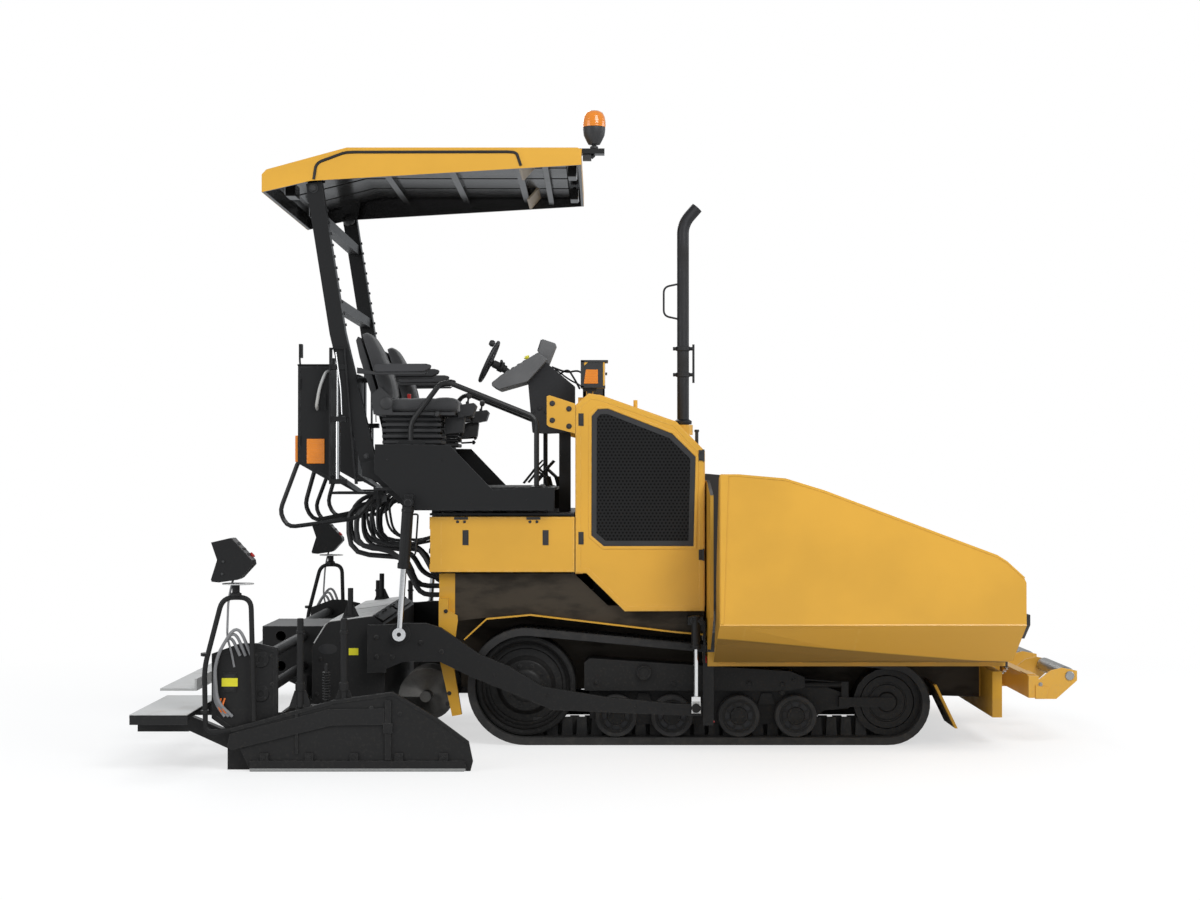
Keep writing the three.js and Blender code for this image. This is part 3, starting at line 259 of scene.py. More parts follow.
def hopper_shell(name, colour, rough):
    """Yellow outside; bare plate worn bright by the material, with black residue, within."""
    f = Finish(name)
    up, ahead = f.part("Z", f.facing).ramp(0.05, 0.2), f.part("X", f.facing).ramp(0.5, 0.7)
    inside = up.math("MAXIMUM", ahead)
    smear = f.noise(3.0, 8.0, (0.5, 1.6, 1.0)).ramp(0.1, 0.78)
    tone = f.noise(2.0, 4.0)
    worn = f.mix(smear, (0.15, 0.143, 0.132), RESIDUE)
    f.set(Base_Color=f.mix(inside, f.mix(tone, tint(colour, 0.8), colour), worn),
          Metallic=inside * (1.0 - smear) * 0.7)
    f.set(Roughness=tone * 0.12 + rough + inside * smear * 0.25)
    return f.bump(f.noise(60.0, 4.0), 0.12, 0.0012)


def bare_steel(name, colour, rough, soot=0.0, polish=(1.0, 1.0, 1.0)):
    f = Finish(name)
    brushed = f.noise(90.0, 2.0, polish)
    stain = f.noise(5.0, 5.0).ramp(0.45, 0.7)
    base = f.mix(brushed, tint(colour, 0.8), tint(colour, 1.15))
    f.set(Base_Color=f.mix(stain * soot, base, RESIDUE), Metallic=1.0 - stain * soot)
    f.set(Roughness=(brushed * 0.16 + rough + stain * soot * 0.4).clamped())
    return f.bump(brushed, 0.08, 0.0005)


def moulded(name, colour, rough, grain=190.0, depth=0.25, edge=2.4):
    """Moulded plastic or rubber: fine leather grain with edges a little paler, partly rubbed wear and partly a painted
    highlight.
    """
    f = Finish(name)
    cells = f.node("TexVoronoi", {"feature": "DISTANCE_TO_EDGE"}, {"Vector": f.place, "Scale": grain}).out("Distance")
    tone = f.noise(4.0, 4.0)
    base = f.mottled(tone, colour, 0.85, 1.2)
    f.set(Base_Color=f.mix(f.worn_highlit_edge(0.004) * 0.5, base, tint(colour, edge)))
    f.set(Roughness=(tone * 0.14 + rough).clamped())
    return f.bump(cells, depth, 0.0008)


def belt_rubber():
    f = Finish("track_rubber")
    tone = f.noise(7.0, 5.0)
    low = 1.0 - f.part("Z").ramp(0.0, 0.09)
    dust = (f.noise(30.0, 4.0).ramp(0.46, 0.72) * 0.3 + low * 0.2).clamped()
    base = f.mix(tone.ramp(0.3, 0.7), (0.01, 0.01, 0.01), (0.022, 0.021, 0.021))
    # Paler edges: edge wear and a painted edge highlight.
    base = f.mix(f.worn_highlit_edge(0.004) * 0.5, base, (0.07, 0.068, 0.064))
    f.set(Base_Color=f.mix(dust * 0.5, base, (0.1, 0.088, 0.07)), Roughness=(tone * 0.15 + 0.68).clamped())
    return f.bump(f.noise(140.0, 3.0), 0.3, 0.0012)


def perforated():
    """Black sheet punched with hexagonal holes, seen as dark dots in staggered rows."""
    f = Finish("grille_black", Specular_IOR_Level=0.2)
    x, z = f.part("X"), f.part("Z")
    pitch = 2 * math.pi / HOLE_PITCH
    rows = (z * pitch).math("COSINE")
    slant = (z * (pitch * 0.5) + x * (pitch * 0.866)).math("COSINE")
    other = (z * (pitch * 0.5) - x * (pitch * 0.866)).math("COSINE")
    hole = (rows + slant + other).ramp(0.2, 1.0)
    tone = f.noise(3.0, 4.0)
    base = f.mix(tone, (0.008, 0.008, 0.0083), (0.012, 0.012, 0.0123))
    f.set(Base_Color=f.mix(hole, base, (0.001, 0.001, 0.001)), Roughness=hole * 0.4 + 0.45)
    return f.bump(1.0 - hole, 0.7, 0.003)


def woven():
    f = Finish("seat_cloth", Sheen_Weight=0.35, Sheen_Roughness=0.5)
    x, y, z = f.part("X"), f.part("Y"), f.part("Z")
    over = (y * THREADS).math("SINE")
    under = ((x + z) * THREADS).math("SINE")
    weave = (over * under * 0.5 + 0.5).clamped()
    tone = f.noise(9.0, 4.0)
    base = f.mix(weave, (0.012, 0.012, 0.013), (0.034, 0.034, 0.036))
    f.set(Base_Color=f.mix(tone.ramp(0.45, 0.8) * 0.4, base, (0.05, 0.05, 0.052)), Roughness=tone * 0.1 + 0.78)
    return f.bump(weave, 0.35, 0.0006)


def lens(name, colour, glow):
    f = Finish(name, Coat_Weight=0.6, Coat_Roughness=0.05, Transmission_Weight=0.0)
    ribs = (f.part("Z") * LENS_RIBS).math("SINE")
    tone = f.noise(12.0)
    base = f.mix(tone, tint(colour, 0.8), tint(colour, 1.1))
    f.set(Base_Color=base, Roughness=tone * 0.08 + 0.14)
    f.shader.node.inputs["Emission Strength"].default_value = glow
    f.set(Emission_Color=base)
    return f.bump(ribs, 0.25, 0.002)


def tread_plate():
    """Pale grit-coated step plate."""
    f = Finish("step_grey")
    grit = f.noise(260.0, 2.0)
    dirt = f.noise(6.0, 5.0).ramp(0.48, 0.75)
    base = f.mix(grit, (0.36, 0.36, 0.355), (0.56, 0.56, 0.55))
    # Paler edges: edge wear and a painted edge highlight.
    base = f.mix(f.worn_highlit_edge(0.006) * 0.5, base, (0.72, 0.72, 0.7))
    f.set(Base_Color=f.mix(dirt * 0.35, base, DUST), Roughness=grit * 0.15 + 0.55)
    return f.bump(grit, 0.4, 0.001)


def labelled(name, colour):
    f = Finish(name)
    tone = f.noise(30.0, 3.0)
    f.set(Base_Color=f.mix(tone, tint(colour, 0.86), tint(colour, 1.08)), Roughness=tone * 0.1 + 0.38)
    return f.bump(tone, 0.05, 0.0004)


yellow = sprayed("yellow_paint", YELLOW, 0.36, 0.25, WORN_HIGHLIT_YELLOW)
# The third colour is the painted shade of the chassis plate behind the tracks and under the flaps.
yellow_low = chassis_paint("chassis_yellow", tint(YELLOW, 0.86), (0.04, 0.03, 0.019), 0.5)
hopper_plate = hopper_shell("hopper_floor", tint(YELLOW, 0.8), 0.42)
wing_left = two_sided("hopper_side_left", YELLOW, WORN_PLATE, "Y", -1.0, 0.36, 0.25, WORN_HIGHLIT_YELLOW)
wing_right = two_sided("hopper_side_right", YELLOW, WORN_PLATE, "Y", 1.0, 0.36, 0.25, WORN_HIGHLIT_YELLOW)
roof_paint = canopy_shell("roof_yellow", YELLOW, (0.01, 0.0095, 0.009), 0.3, 0.35)
charcoal = sprayed("charcoal_paint", CHARCOAL, 0.4, 0.15, WORN_HIGHLIT_CHARCOAL, dirt=0.08, shine=0.2)
deck_paint = sprayed("deck_charcoal", tint(CHARCOAL, 1.05), 0.42, 0.15, WORN_HIGHLIT_CHARCOAL, dirt=0.05, shine=0.2)
screed_paint = sprayed("screed_charcoal", tint(CHARCOAL, 1.1), 0.5, 0.05, (0.085, 0.083, 0.08), dirt=0.08, shine=0.2)
black = sprayed("black_paint", BLACK, 0.44, 0.1, (0.08, 0.08, 0.08), dirt=0.2)
wheel_black = sprayed("wheel_black", tint(BLACK, 1.1), 0.5, 0.05, (0.06, 0.06, 0.06), dirt=0.15, shine=0.25)
stack_black = bare_steel("stack_black", (0.05, 0.05, 0.052), 0.45, 0.6)
steel = bare_steel("worn_steel", (0.4, 0.39, 0.37), 0.32, 0.75, (1.0, 0.2, 1.0))
auger_steel = bare_steel("auger_steel", (0.15, 0.145, 0.137), 0.4, 0.95, (1.0, 0.2, 1.0))
bolt_steel = bare_steel("bolt_zinc", (0.42, 0.42, 0.41), 0.3, 0.2)
chrome = bare_steel("rod_chrome", (0.78, 0.78, 0.78), 0.08)
plastic = moulded("black_plastic", (0.02, 0.02, 0.021), 0.46)
console_grey = moulded("console_grey", (0.105, 0.105, 0.107), 0.5, 170.0, 0.2, 1.8)
tread_dark = moulded("floor_mat", (0.018, 0.018, 0.018), 0.75, 90.0, 0.5, 1.6)
canopy_black = moulded("canopy_black", (0.01, 0.0095, 0.009), 0.16, 60.0, 0.04, 3.0)
brace_beige = labelled("brace_beige", (0.34, 0.28, 0.2))
rubber = moulded("hose_rubber", (0.016, 0.016, 0.017), 0.5, 420.0, 0.12)
pale_hose = moulded("hose_sleeve", (0.2, 0.2, 0.205), 0.6, 320.0, 0.4, 1.6)
armrest = moulded("armrest_foam", (0.028, 0.028, 0.03), 0.62, 240.0, 0.3)
track_rubber = belt_rubber()
grille = perforated()
cloth = woven()
amber = lens("amber_lens", (0.68, 0.2, 0.006), 0.12)
red_lens = lens("red_reflector", (0.45, 0.012, 0.01), 0.05)
clear_lens = lens("headlamp_glass", (0.55, 0.56, 0.58), 0.1)
screen = lens("screen_glass", (0.012, 0.014, 0.018), 0.0)
step_grey = tread_plate()
label_yellow = labelled("patch_yellow", (0.7, 0.64, 0.015))
cable_orange = labelled("cable_orange", (0.75, 0.16, 0.01))
knob_red = labelled("knob_red", (0.5, 0.02, 0.015))

CAD_FINISH = {"track_frame": wheel_black, "drive_wheel": wheel_black, "track_belt": track_rubber,
              "main_frame": yellow_low, "conveyor": steel, "engine_block": black, "hopper_base": hopper_plate,
              "hopper_apron": rubber, "push_beam": yellow, "push_roller": steel, "hood": yellow,
              "engine_door": yellow, "side_flap": yellow, "exhaust_stack": stack_black, "operator_deck": deck_paint,
              "handrail": charcoal, "seat_frame": plastic, "seat_pad": cloth, "console": plastic,
              "steering_wheel": plastic, "rear_cabinet": deck_paint, "canopy_posts": charcoal,
              "canopy_roof": roof_paint, "beacon": amber, "auger": auger_steel, "tow_cylinder": charcoal,
              "tow_rod": chrome, "tow_arm": screed_paint, "lift_cylinder": charcoal, "lift_rod": chrome,
              "screed_body": screed_paint, "walkway_main": step_grey, "extension": screed_paint,
              "endgate": screed_paint, "hydraulic_hoses": rubber}


def finish_of(node):
    if node == "hopper_wing_L":
        return wing_left
    if node == "hopper_wing_R":
        return wing_right
    return CAD_FINISH[node[:-2] if node[-2:] in ("_L", "_R") else node]


for node_name, cad_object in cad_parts.items():
    cad_object.data.materials.clear()
    cad_object.data.materials.append(finish_of(node_name).material)


# ---------------------------------------------------------------- piece maker
def point(x, y, z):
    """A place given forward of the datum, left of the centre plane and above the ground."""
    return Vector((DATUM + x, y, z))


def rounded_path(corners, bend, steps=6):
    """Straight runs with rounded corners."""
    path = [corners[0]]
    for before, corner, after in zip(corners, corners[1:], corners[2:]):
        a, b = before - corner, after - corner
        reach = min(bend, a.length * 0.48, b.length * 0.48)
        start, end = corner + a.normalized() * reach, corner + b.normalized() * reach
        for i in range(steps + 1):
            t = i / steps
            path.append(start * (1 - t) ** 2 + corner * 2 * t * (1 - t) + end * t * t)
    return path + [corners[-1]]


def spread(count, start=0.0):
    """Angles spread evenly over one turn."""
    return [2 * math.pi * (i + start) / count for i in range(count)]


def around(centre, r, out, t):
    """A place at a radius and an angle about an axis across the machine."""
    return centre + Vector((r * math.cos(t), out, r * math.sin(t)))


def rect(x0, z0, x1, z1):
    return [(x0, z0), (x1, z0), (x1, z1), (x0, z1)]


def collar(bore, r, start, end, length):
    """The profile of a ring around a shaft, sloping to it at both ends."""
    return [(bore, 0), (r, start), (r, end), (bore, length)]


def button(top, r, shoulder, height):
    """The profile of a round cap with a sloping edge."""
    return [(0, height), (top, height), (r, shoulder), (r, 0), (0, 0)]


class Piece:
    """Gathers shapes into one mesh, which then rides on a body.

    A triple is a place ahead of the datum, outward on the piece's side and above the ground. A vector is used as it is.
    """

    def __init__(self, side=1):
        self.mesh, self.side = bmesh.new(), side

    def at(self, place):
        return place if isinstance(place, Vector) else point(place[0], place[1] * self.side, place[2])

    def way(self, axis):
        return axis if isinstance(axis, Vector) else Vector((axis[0], axis[1] * self.side, axis[2]))

    def skin(self, rings, ends=False):
        """Faces between rings of as many corners, and over the first and the last."""
        for one, two in zip(rings, rings[1:]):
            for k, corner in enumerate(one):
                n = (k + 1) % len(one)
                self.mesh.faces.new([corner, one[n], two[n], two[k]])
        if ends:
            self.mesh.faces.new(list(reversed(rings[0])))
            self.mesh.faces.new(rings[-1])
        return self

    def faces(self, points, faces, where=None):
        made = [self.mesh.verts.new(where @ Vector(p) if where else p) for p in points]
        for face in faces:
            self.mesh.faces.new([made[i] for i in face])
        return self

    def block(self, low, high, where=None):
        low, high = (low, high) if where else (self.at(low), self.at(high))
        (x0, y0, z0), (x1, y1, z1) = [[f(a, b) for a, b in zip(low, high)] for f in (min, max)]
        corners = [(x, y, z) for x in (x0, x1) for y in (y0, y1) for z in (z0, z1)]
        return self.faces(corners, [(0, 1, 3, 2), (4, 6, 7, 5), (0, 4, 5, 1), (2, 3, 7, 6), (0, 2, 6, 4),
                                    (1, 5, 7, 3)], where)

    def plate(self, outline, low, high, across="y"):
        """A flat outline thickened across the machine, or along it."""
        count = len(outline)
        if across == "y":
            near, far = ([self.at((x, y, z)) for x, z in outline] for y in (low, high))
        else:
            near, far = ([self.at((x, y, z)) for y, z in outline] for x in (low, high))
        sides = [(i, (i + 1) % count, (i + 1) % count + count, i + count) for i in range(count)]
        return self.faces(near + far, [tuple(range(count)), tuple(range(2 * count - 1, count - 1, -1))] + sides)

    def turned(self, profile, centre, axis, segments=40):
        """A profile of (radius, distance) pairs spun round an axis."""
        turn = Vector((0, 0, 1)).rotation_difference(self.way(axis)).to_matrix().to_4x4()
        where = Matrix.Translation(self.at(centre)) @ turn
        rings = []
        for r, a in profile:
            if r < 1e-6:
                rings.append([self.mesh.verts.new(where @ Vector((0, 0, a)))])
            else:
                places = [Vector((r * math.cos(t), r * math.sin(t), a)) for t in spread(segments)]
                rings.append([self.mesh.verts.new(where @ place) for place in places])
        for one, two in zip(rings, rings[1:]):
            for i in range(segments):
                j = (i + 1) % segments
                corners = [one[i % len(one)], one[j % len(one)], two[j % len(two)], two[i % len(two)]]
                unique = [v for k, v in enumerate(corners) if v not in corners[:k]]
                if len(unique) > 2:
                    self.mesh.faces.new(unique)
        return self

    def rod(self, start, end, r, segments=16):
        start = self.at(start)
        along = self.at(end) - start
        edge = min(r * 0.15, along.length * 0.2)
        profile = [(0, 0), (r - edge, 0), (r, edge), (r, along.length - edge), (r - edge, along.length),
                   (0, along.length)]
        return self.turned(profile, start, along.normalized(), segments)

    def tube(self, corners, r, bend=0.05, sides=12, steps=6):
        path = rounded_path([self.at(corner) for corner in corners], bend, steps)
        normal = None
        rings = []
        for i, centre in enumerate(path):
            along = (path[min(i + 1, len(path) - 1)] - path[max(i - 1, 0)]).normalized()
            if normal is None:
                normal = along.orthogonal().normalized()
            normal = (normal - along * normal.dot(along)).normalized()
            other = along.cross(normal)
            places = [centre + (normal * math.cos(t) + other * math.sin(t)) * r for t in spread(sides)]
            rings.append([self.mesh.verts.new(place) for place in places])
        return self.skin(rings, ends=True)

    def bolt(self, at, axis, r=0.012, washer=True):
        """A hexagon head on its washer, standing on a surface."""
        axis, base = self.way(axis), self.at(at)
        if washer:
            self.turned([(0, 0), (r * 1.35, 0), (r * 1.35, r * 0.2), (0, r * 0.2)], base, axis, 14)
            base = base + axis * r * 0.2
        self.turned([(0, 0), (r, 0), (r, r * 0.6), (r * 0.82, r * 0.78), (0, r * 0.78)], base, axis, 6)
        return self

    def ring(self, outer, inner, low, high):
        """A flat frame between two outlines of as many corners, thickened across the machine."""
        count = len(outer)
        lines = [(line, y) for y in (low, high) for line in (outer, inner)]
        layers = [[self.mesh.verts.new(self.at((x, y, z))) for x, z in line] for line, y in lines]
        outer_low, inner_low, outer_high, inner_high = layers
        for i in range(count):
            j = (i + 1) % count
            for a, b in ((outer_low, inner_low), (inner_high, outer_high), (outer_high, outer_low),
                         (inner_low, inner_high)):
                self.mesh.faces.new([a[i], a[j], b[j], b[i]])
        return self

    def done(self, name, finish, body, slot, bevel=0.0, angle=35, replaces=(), subdivide=0):
        bmesh.ops.recalc_face_normals(self.mesh, faces=self.mesh.faces)
        data = bpy.data.meshes.new(name)
        self.mesh.to_mesh(data)
        self.mesh.free()
        made = bpy.data.objects.new(name, data)
        bpy.context.scene.collection.objects.link(made)
        data.materials.append(finish.material)
        data.polygons.foreach_set("use_smooth", [True] * len(data.polygons))
        if subdivide:
            made.modifiers.new("rounding", "SUBSURF").levels = subdivide
            made.modifiers["rounding"].render_levels = subdivide
        else:
            data.set_sharp_from_angle(angle=math.radians(angle))
        if bevel:
            edge = made.modifiers.new("edge", "BEVEL")
            edge.width, edge.segments, edge.limit_method = bevel, 2, "ANGLE"
            edge.angle_limit, edge.harden_normals = math.radians(40), True
        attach(made, body)
        if replaces:
            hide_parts(*replaces)
        return made


def inset(outline, by):
    """The outline moved in towards its middle by about the same width all round."""
    middle = Vector((sum(p[0] for p in outline), sum(p[1] for p in outline))) / len(outline)
    moved = []
    for i, corner in enumerate(outline):
        before, after = Vector(outline[i - 1]), Vector(outline[(i + 1) % len(outline)])
        corner = Vector(corner)
        one, two = (corner - before).normalized(), (after - corner).normalized()
        normals = []
        for way in (one, two):
            normal = Vector((-way.y, way.x))
            normals.append(normal if normal.dot(middle - corner) > 0 else -normal)
        between = (normals[0] + normals[1]).normalized()
        moved.append(tuple(corner + between * by / max(0.35, between.dot(normals[0]))))
    return moved


# ---------------------------------------------------------------- tracks
def track_path(low, high, front_radius):
    """A function of distance along the belt and depth below its tread, and the belt's length."""
    rear_radius = high.z / 2
    rear, front = low.x + rear_radius, high.x - front_radius
    run = front - rear
    slope = 2 * math.atan2(front_radius - rear_radius, run)
    bends = ((math.pi + slope) * front_radius, (math.pi - slope) * rear_radius)

    def at(along, depth):
        along %= 2 * run + bends[0] + bends[1]
        if along < run:
            return rear + along, depth
        along -= run
        if along < bends[0]:
            t, r = -math.pi / 2 + along / front_radius, front_radius - depth
            return front + r * math.cos(t), front_radius + r * math.sin(t)
        along -= bends[0]
        normal = math.pi / 2 + slope
        if along < run:
            r = front_radius - depth
            return (front + r * math.cos(normal) - along * math.cos(slope),
                    front_radius + r * math.sin(normal) - along * math.sin(slope))
        t, r = normal + (along - run) / rear_radius, rear_radius - depth
        return rear + r * math.cos(t), rear_radius + r * math.sin(t)

    return at, 2 * run + bends[0] + bends[1]


FRONT_BEND, BELT, LUG, RIM = 0.24, 0.045, 0.018, 0.022
GUIDE_RUN, GUIDE_PITCH = (-0.36, 1.62), 0.085
BELT_STEPS, LUG_PITCH = 150, 0.056
BOGIES, BOGIE_AXLE, BOGIE_R = (0.092, 0.414, 0.799, 1.127), 0.166, 0.1205

for tag, side in SIDES.items():
    low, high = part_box("track_belt_" + tag)
    at, length = track_path(low, high, FRONT_BEND)
    belt = Piece()
    section = [(low.y, 0.006), (low.y + 0.006, 0.0005), (low.y + RIM, 0.0005), (low.y + RIM + 0.006, LUG),
               (high.y - RIM - 0.006, LUG), (high.y - RIM, 0.0005), (high.y - 0.006, 0.0005), (high.y, 0.006),
               (high.y, BELT - 0.003), (high.y - 0.004, BELT), (low.y + 0.004, BELT), (low.y, BELT - 0.003)]
    rings = []
    for i in range(BELT_STEPS):
        corners = [(at(length * i / BELT_STEPS, depth), y) for y, depth in section]
        rings.append([belt.mesh.verts.new((x, y, z)) for (x, z), y in corners])
    belt.skin(rings + rings[:1])
    lugs = round(length / LUG_PITCH)
    pitch = length / lugs
    middle = (low.y + high.y) / 2
    for i in range(lugs):
        for half, (y0, y1) in enumerate(((low.y + RIM - 0.004, middle + 0.012),
                                         (middle - 0.012, high.y - RIM + 0.004))):
            start = (i + 0.5 * half) * pitch
            foot = [at(start, LUG + 0.004), at(start + 0.8 * pitch, LUG + 0.004)]
            crown = [at(start + 0.07 * pitch, 0.001), at(start + 0.73 * pitch, 0.001)]
            points = [(x, y, z) for y in (y0, y1) for x, z in (foot[0], foot[1], crown[1], crown[0])]
            belt.faces(points, [(0, 1, 2, 3), (7, 6, 5, 4), (0, 4, 5, 1), (1, 5, 6, 2), (2, 6, 7, 3), (3, 7, 4, 0)])
    guides = round((GUIDE_RUN[1] - GUIDE_RUN[0]) / GUIDE_PITCH)
    for i in range(guides):
        for row in (-1, 1):
            x, y = DATUM + GUIDE_RUN[0] + GUIDE_PITCH * (i + 0.25 * (1 + row)), middle + 0.032 * row
            foot = rect(-0.032, -0.024, 0.032, 0.024)
            levels = ((BELT - 0.004, 1.0), (0.148, 0.82))
            corners = [(x + a * k, y + b * k * 0.9, z) for z, k in levels for a, b in foot]
            belt.faces(corners, [(0, 3, 2, 1), (4, 5, 6, 7), (0, 1, 5, 4), (1, 2, 6, 5), (2, 3, 7, 6), (3, 0, 4, 7)])
    belt.done("belt_" + tag, track_rubber, "root", "rubber", replaces=("track_belt_" + tag,))

    low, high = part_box("drive_wheel_" + tag)
    centre = Vector(((low.x + high.x) / 2, 0.7 * side, (low.z + high.z) / 2))
    r = (high.x - low.x) / 2
    wheel = Piece(side)
    wheel.turned([(0, -0.178), (0.128, -0.178), (0.13, -0.03), (0.236, -0.03), (0.25, -0.092), (r - 0.006, -0.095),
                  (r, -0.088), (r, 0.088), (r - 0.006, 0.095), (0.262, 0.095), (0.256, 0.09), (0.25, 0.06),
                  (0.238, 0.05), (0.226, 0.056), (0.216, 0.056), (0.208, 0.046), (0.172, 0.05), (0.16, 0.066),
                  (0.152, 0.074), (0.146, 0.09), (0.14, 0.094), (0.094, 0.094), (0.088, 0.1), (0.07, 0.106),
                  (0, 0.106)], centre, OUT, 72)
    wheel.turned([(0.264, 0.094), (0.268, 0.098), (0.276, 0.098), (0.28, 0.094)], centre, OUT, 72)
    for t in spread(10):
        wheel.bolt(around(centre, 0.118, 0.094 * side, t), OUT, 0.01)
    wheel.done("drive_wheel_skin_" + tag, wheel_black, "root", "black_paint", angle=30,
               replaces=("drive_wheel_" + tag,))

    trim, tyres, pits = Piece(side), Piece(side), Piece(side)
    for x in BOGIES:
        hub = point(x, 0.826 * side, BOGIE_AXLE)
        tyres.turned([(0.094, -0.03), (0.094, 0.016), (0.098, 0.02), (0.116, 0.02), (BOGIE_R, 0.014),
                      (BOGIE_R, -0.05)], hub, OUT, 56)
        pits.turned(rect(0, 0.0006, 0.093, -0.004), hub, OUT, 40)
        trim.turned([(0, 0.018), (0.03, 0.018), (0.036, 0.014), (0.048, 0.012), (0.052, 0.006), (0.052, -0.004),
                     (0, -0.004)], hub, OUT, 40)
        trim.turned([(0.08, -0.004), (0.08, 0.008), (0.084, 0.011), (0.092, 0.011), (0.0935, -0.004)], hub, OUT, 48)
        for i, t in enumerate(spread(8, 0.5)):
            spin = Matrix.Translation(hub) @ Matrix.Rotation(t, 4, (0, 1, 0))
            trim.block((0.048, -0.004 * side, -0.006), (0.084, 0.008 * side, 0.006), spin)
            if i % 2:
                trim.bolt(around(hub, 0.041, 0.013 * side, t), OUT, 0.005)
    idler = point(1.659, 0.7 * side, 0.24)
    trim.turned([(0, 0.088), (0.05, 0.088), (0.056, 0.083), (0.06, 0.076), (0.1, 0.079), (0.104, 0.074),
                 (0.11, 0.074), (0.114, 0.08), (0.15, 0.08), (0.154, 0.074), (0.154, 0.03)], idler, OUT, 64)
    for t in spread(6):
        trim.bolt(around(idler, 0.082, 0.077 * side, t), OUT, 0.006, False)
    face = 0.812
    for x, z, r in ((-0.02, 0.36, 0.014), (0.42, 0.35, 0.014), (0.86, 0.35, 0.014), (1.05, 0.345, 0.014),
                    (1.05, 0.3, 0.012), (0.6, 0.34, 0.012), (1.12, 0.37, 0.012)):
        trim.bolt((x, face, z), OUT, r)
    seat = (0.253, 0.838, 0.415)
    trim.turned([(0.03, 0), (0.03, 0.003), (0.034, 0.006), (0.04, 0.006), (0.042, 0.0)], seat, OUT, 32)
    for x in (0.253, 0.963):
        trim.plate([(x - 0.05, 0.225), (x + 0.05, 0.225), (x + 0.028, 0.29), (x - 0.028, 0.29)], 0.756, 0.772)
    trim.tube([(1.15, 0.77, 0.372), (1.3, 0.772, 0.362), (1.43, 0.772, 0.35)], 0.006)
    trim.done("track_trim_" + tag, wheel_black, "root", "black_paint", bevel=0.0008)
    tyres.done("roller_tyres_" + tag, track_rubber, "root", "rubber", angle=30)
    pits.done("roller_pits_" + tag, stack_black, "root", "black_paint")


# ---------------------------------------------------------------- engine doors and flaps
DOOR_EDGE = [(-0.14, 1.952), (-0.065, 2.019), (0.005, 2.01), (0.438, 1.858), (0.598, 1.69), (0.598, 0.773),
             (0.142, 0.771), (-0.078, 0.989), (-0.14, 0.994)]
GRILLE_EDGE = [(-0.048, 1.89), (-0.013, 1.93), (0.046, 1.933), (0.414, 1.79), (0.549, 1.656), (0.537, 1.144),
               (0.021, 1.144), (-0.05, 1.205)]

for tag, side in SIDES.items():
    body = "door_" + BODY[tag]
    skin = 0.875
    door = Piece(side)
    door.ring(inset(DOOR_EDGE, 0.004), inset(DOOR_EDGE, 0.03), skin - 0.001, skin + 0.002)
    door.ring(inset(GRILLE_EDGE, -0.016), inset(GRILLE_EDGE, -0.002), skin - 0.001, skin + 0.004)
    door.done("door_border_" + tag, yellow, body, "yellow_paint", bevel=0.0015)
    mesh = Piece(side).plate(inset(GRILLE_EDGE, 0.001), skin - 0.0055, skin - 0.003)
    mesh.done("door_grille_" + tag, grille, body, "black_paint")
    rim = Piece(side)
    rim.ring(inset(GRILLE_EDGE, 0.001), inset(GRILLE_EDGE, 0.03), skin - 0.003, skin - 0.0005)
    for z in (1.87, 1.19):
        rim.block((-0.124, skin - 0.001, z - 0.036), (-0.094, skin + 0.003, z + 0.036))
        rim.block((-0.117, skin + 0.002, z - 0.026), (-0.101, skin + 0.007, z + 0.02))
    for z in (1.665, 1.095):
        rim.block((0.566, skin - 0.001, z - 0.03), (0.592, skin + 0.007, z + 0.03))
        rim.rod((0.594, skin + 0.004, z - 0.034), (0.594, skin + 0.004, z + 0.034), 0.006)
        for dz in (-0.017, 0.017):
            rim.bolt((0.577, skin + 0.007, z + dz), OUT, 0.0055)
    for x, z in ((-0.034, 1.8), (-0.034, 1.62), (-0.034, 1.44), (-0.034, 1.27), (0.25, 1.16), (0.45, 1.16),
                 (0.525, 1.35), (0.53, 1.55), (0.2, 1.858), (0.48, 1.7)):
        rim.bolt((x, skin - 0.001, z), OUT, 0.0035, False)
    rim.done("door_fittings_" + tag, plastic, body, "black_plastic", bevel=0.0012)

    body = "flap_" + BODY[tag]
    flap = Piece(side)
    for x in (-0.797, -0.382):
        flap.block((x - 0.04, skin - 0.0008, 1.296), (x + 0.04, skin + 0.003, 1.311))
        for dx in (-0.02, 0.02):
            flap.bolt((x + dx, skin + 0.0005, 1.284), OUT, 0.0065)
    for x in (-0.771, -0.312):
        flap.block((x - 0.017, skin - 0.0008, 1.15), (x + 0.017, skin + 0.003, 1.236))
        flap.block((x - 0.009, skin + 0.002, 1.17), (x + 0.009, skin + 0.007, 1.222))
    flap.done("flap_fittings_" + tag, plastic, body, "black_plastic", bevel=0.0012)
    fold = Piece(side)
    fold.ring(rect(-0.974, 1.308, -0.15, 1.0), rect(-0.91, 1.3, -0.158, 1.008), skin - 0.0008, skin + 0.0012)
    fold.done("flap_fold_" + tag, yellow, body, "yellow_paint")

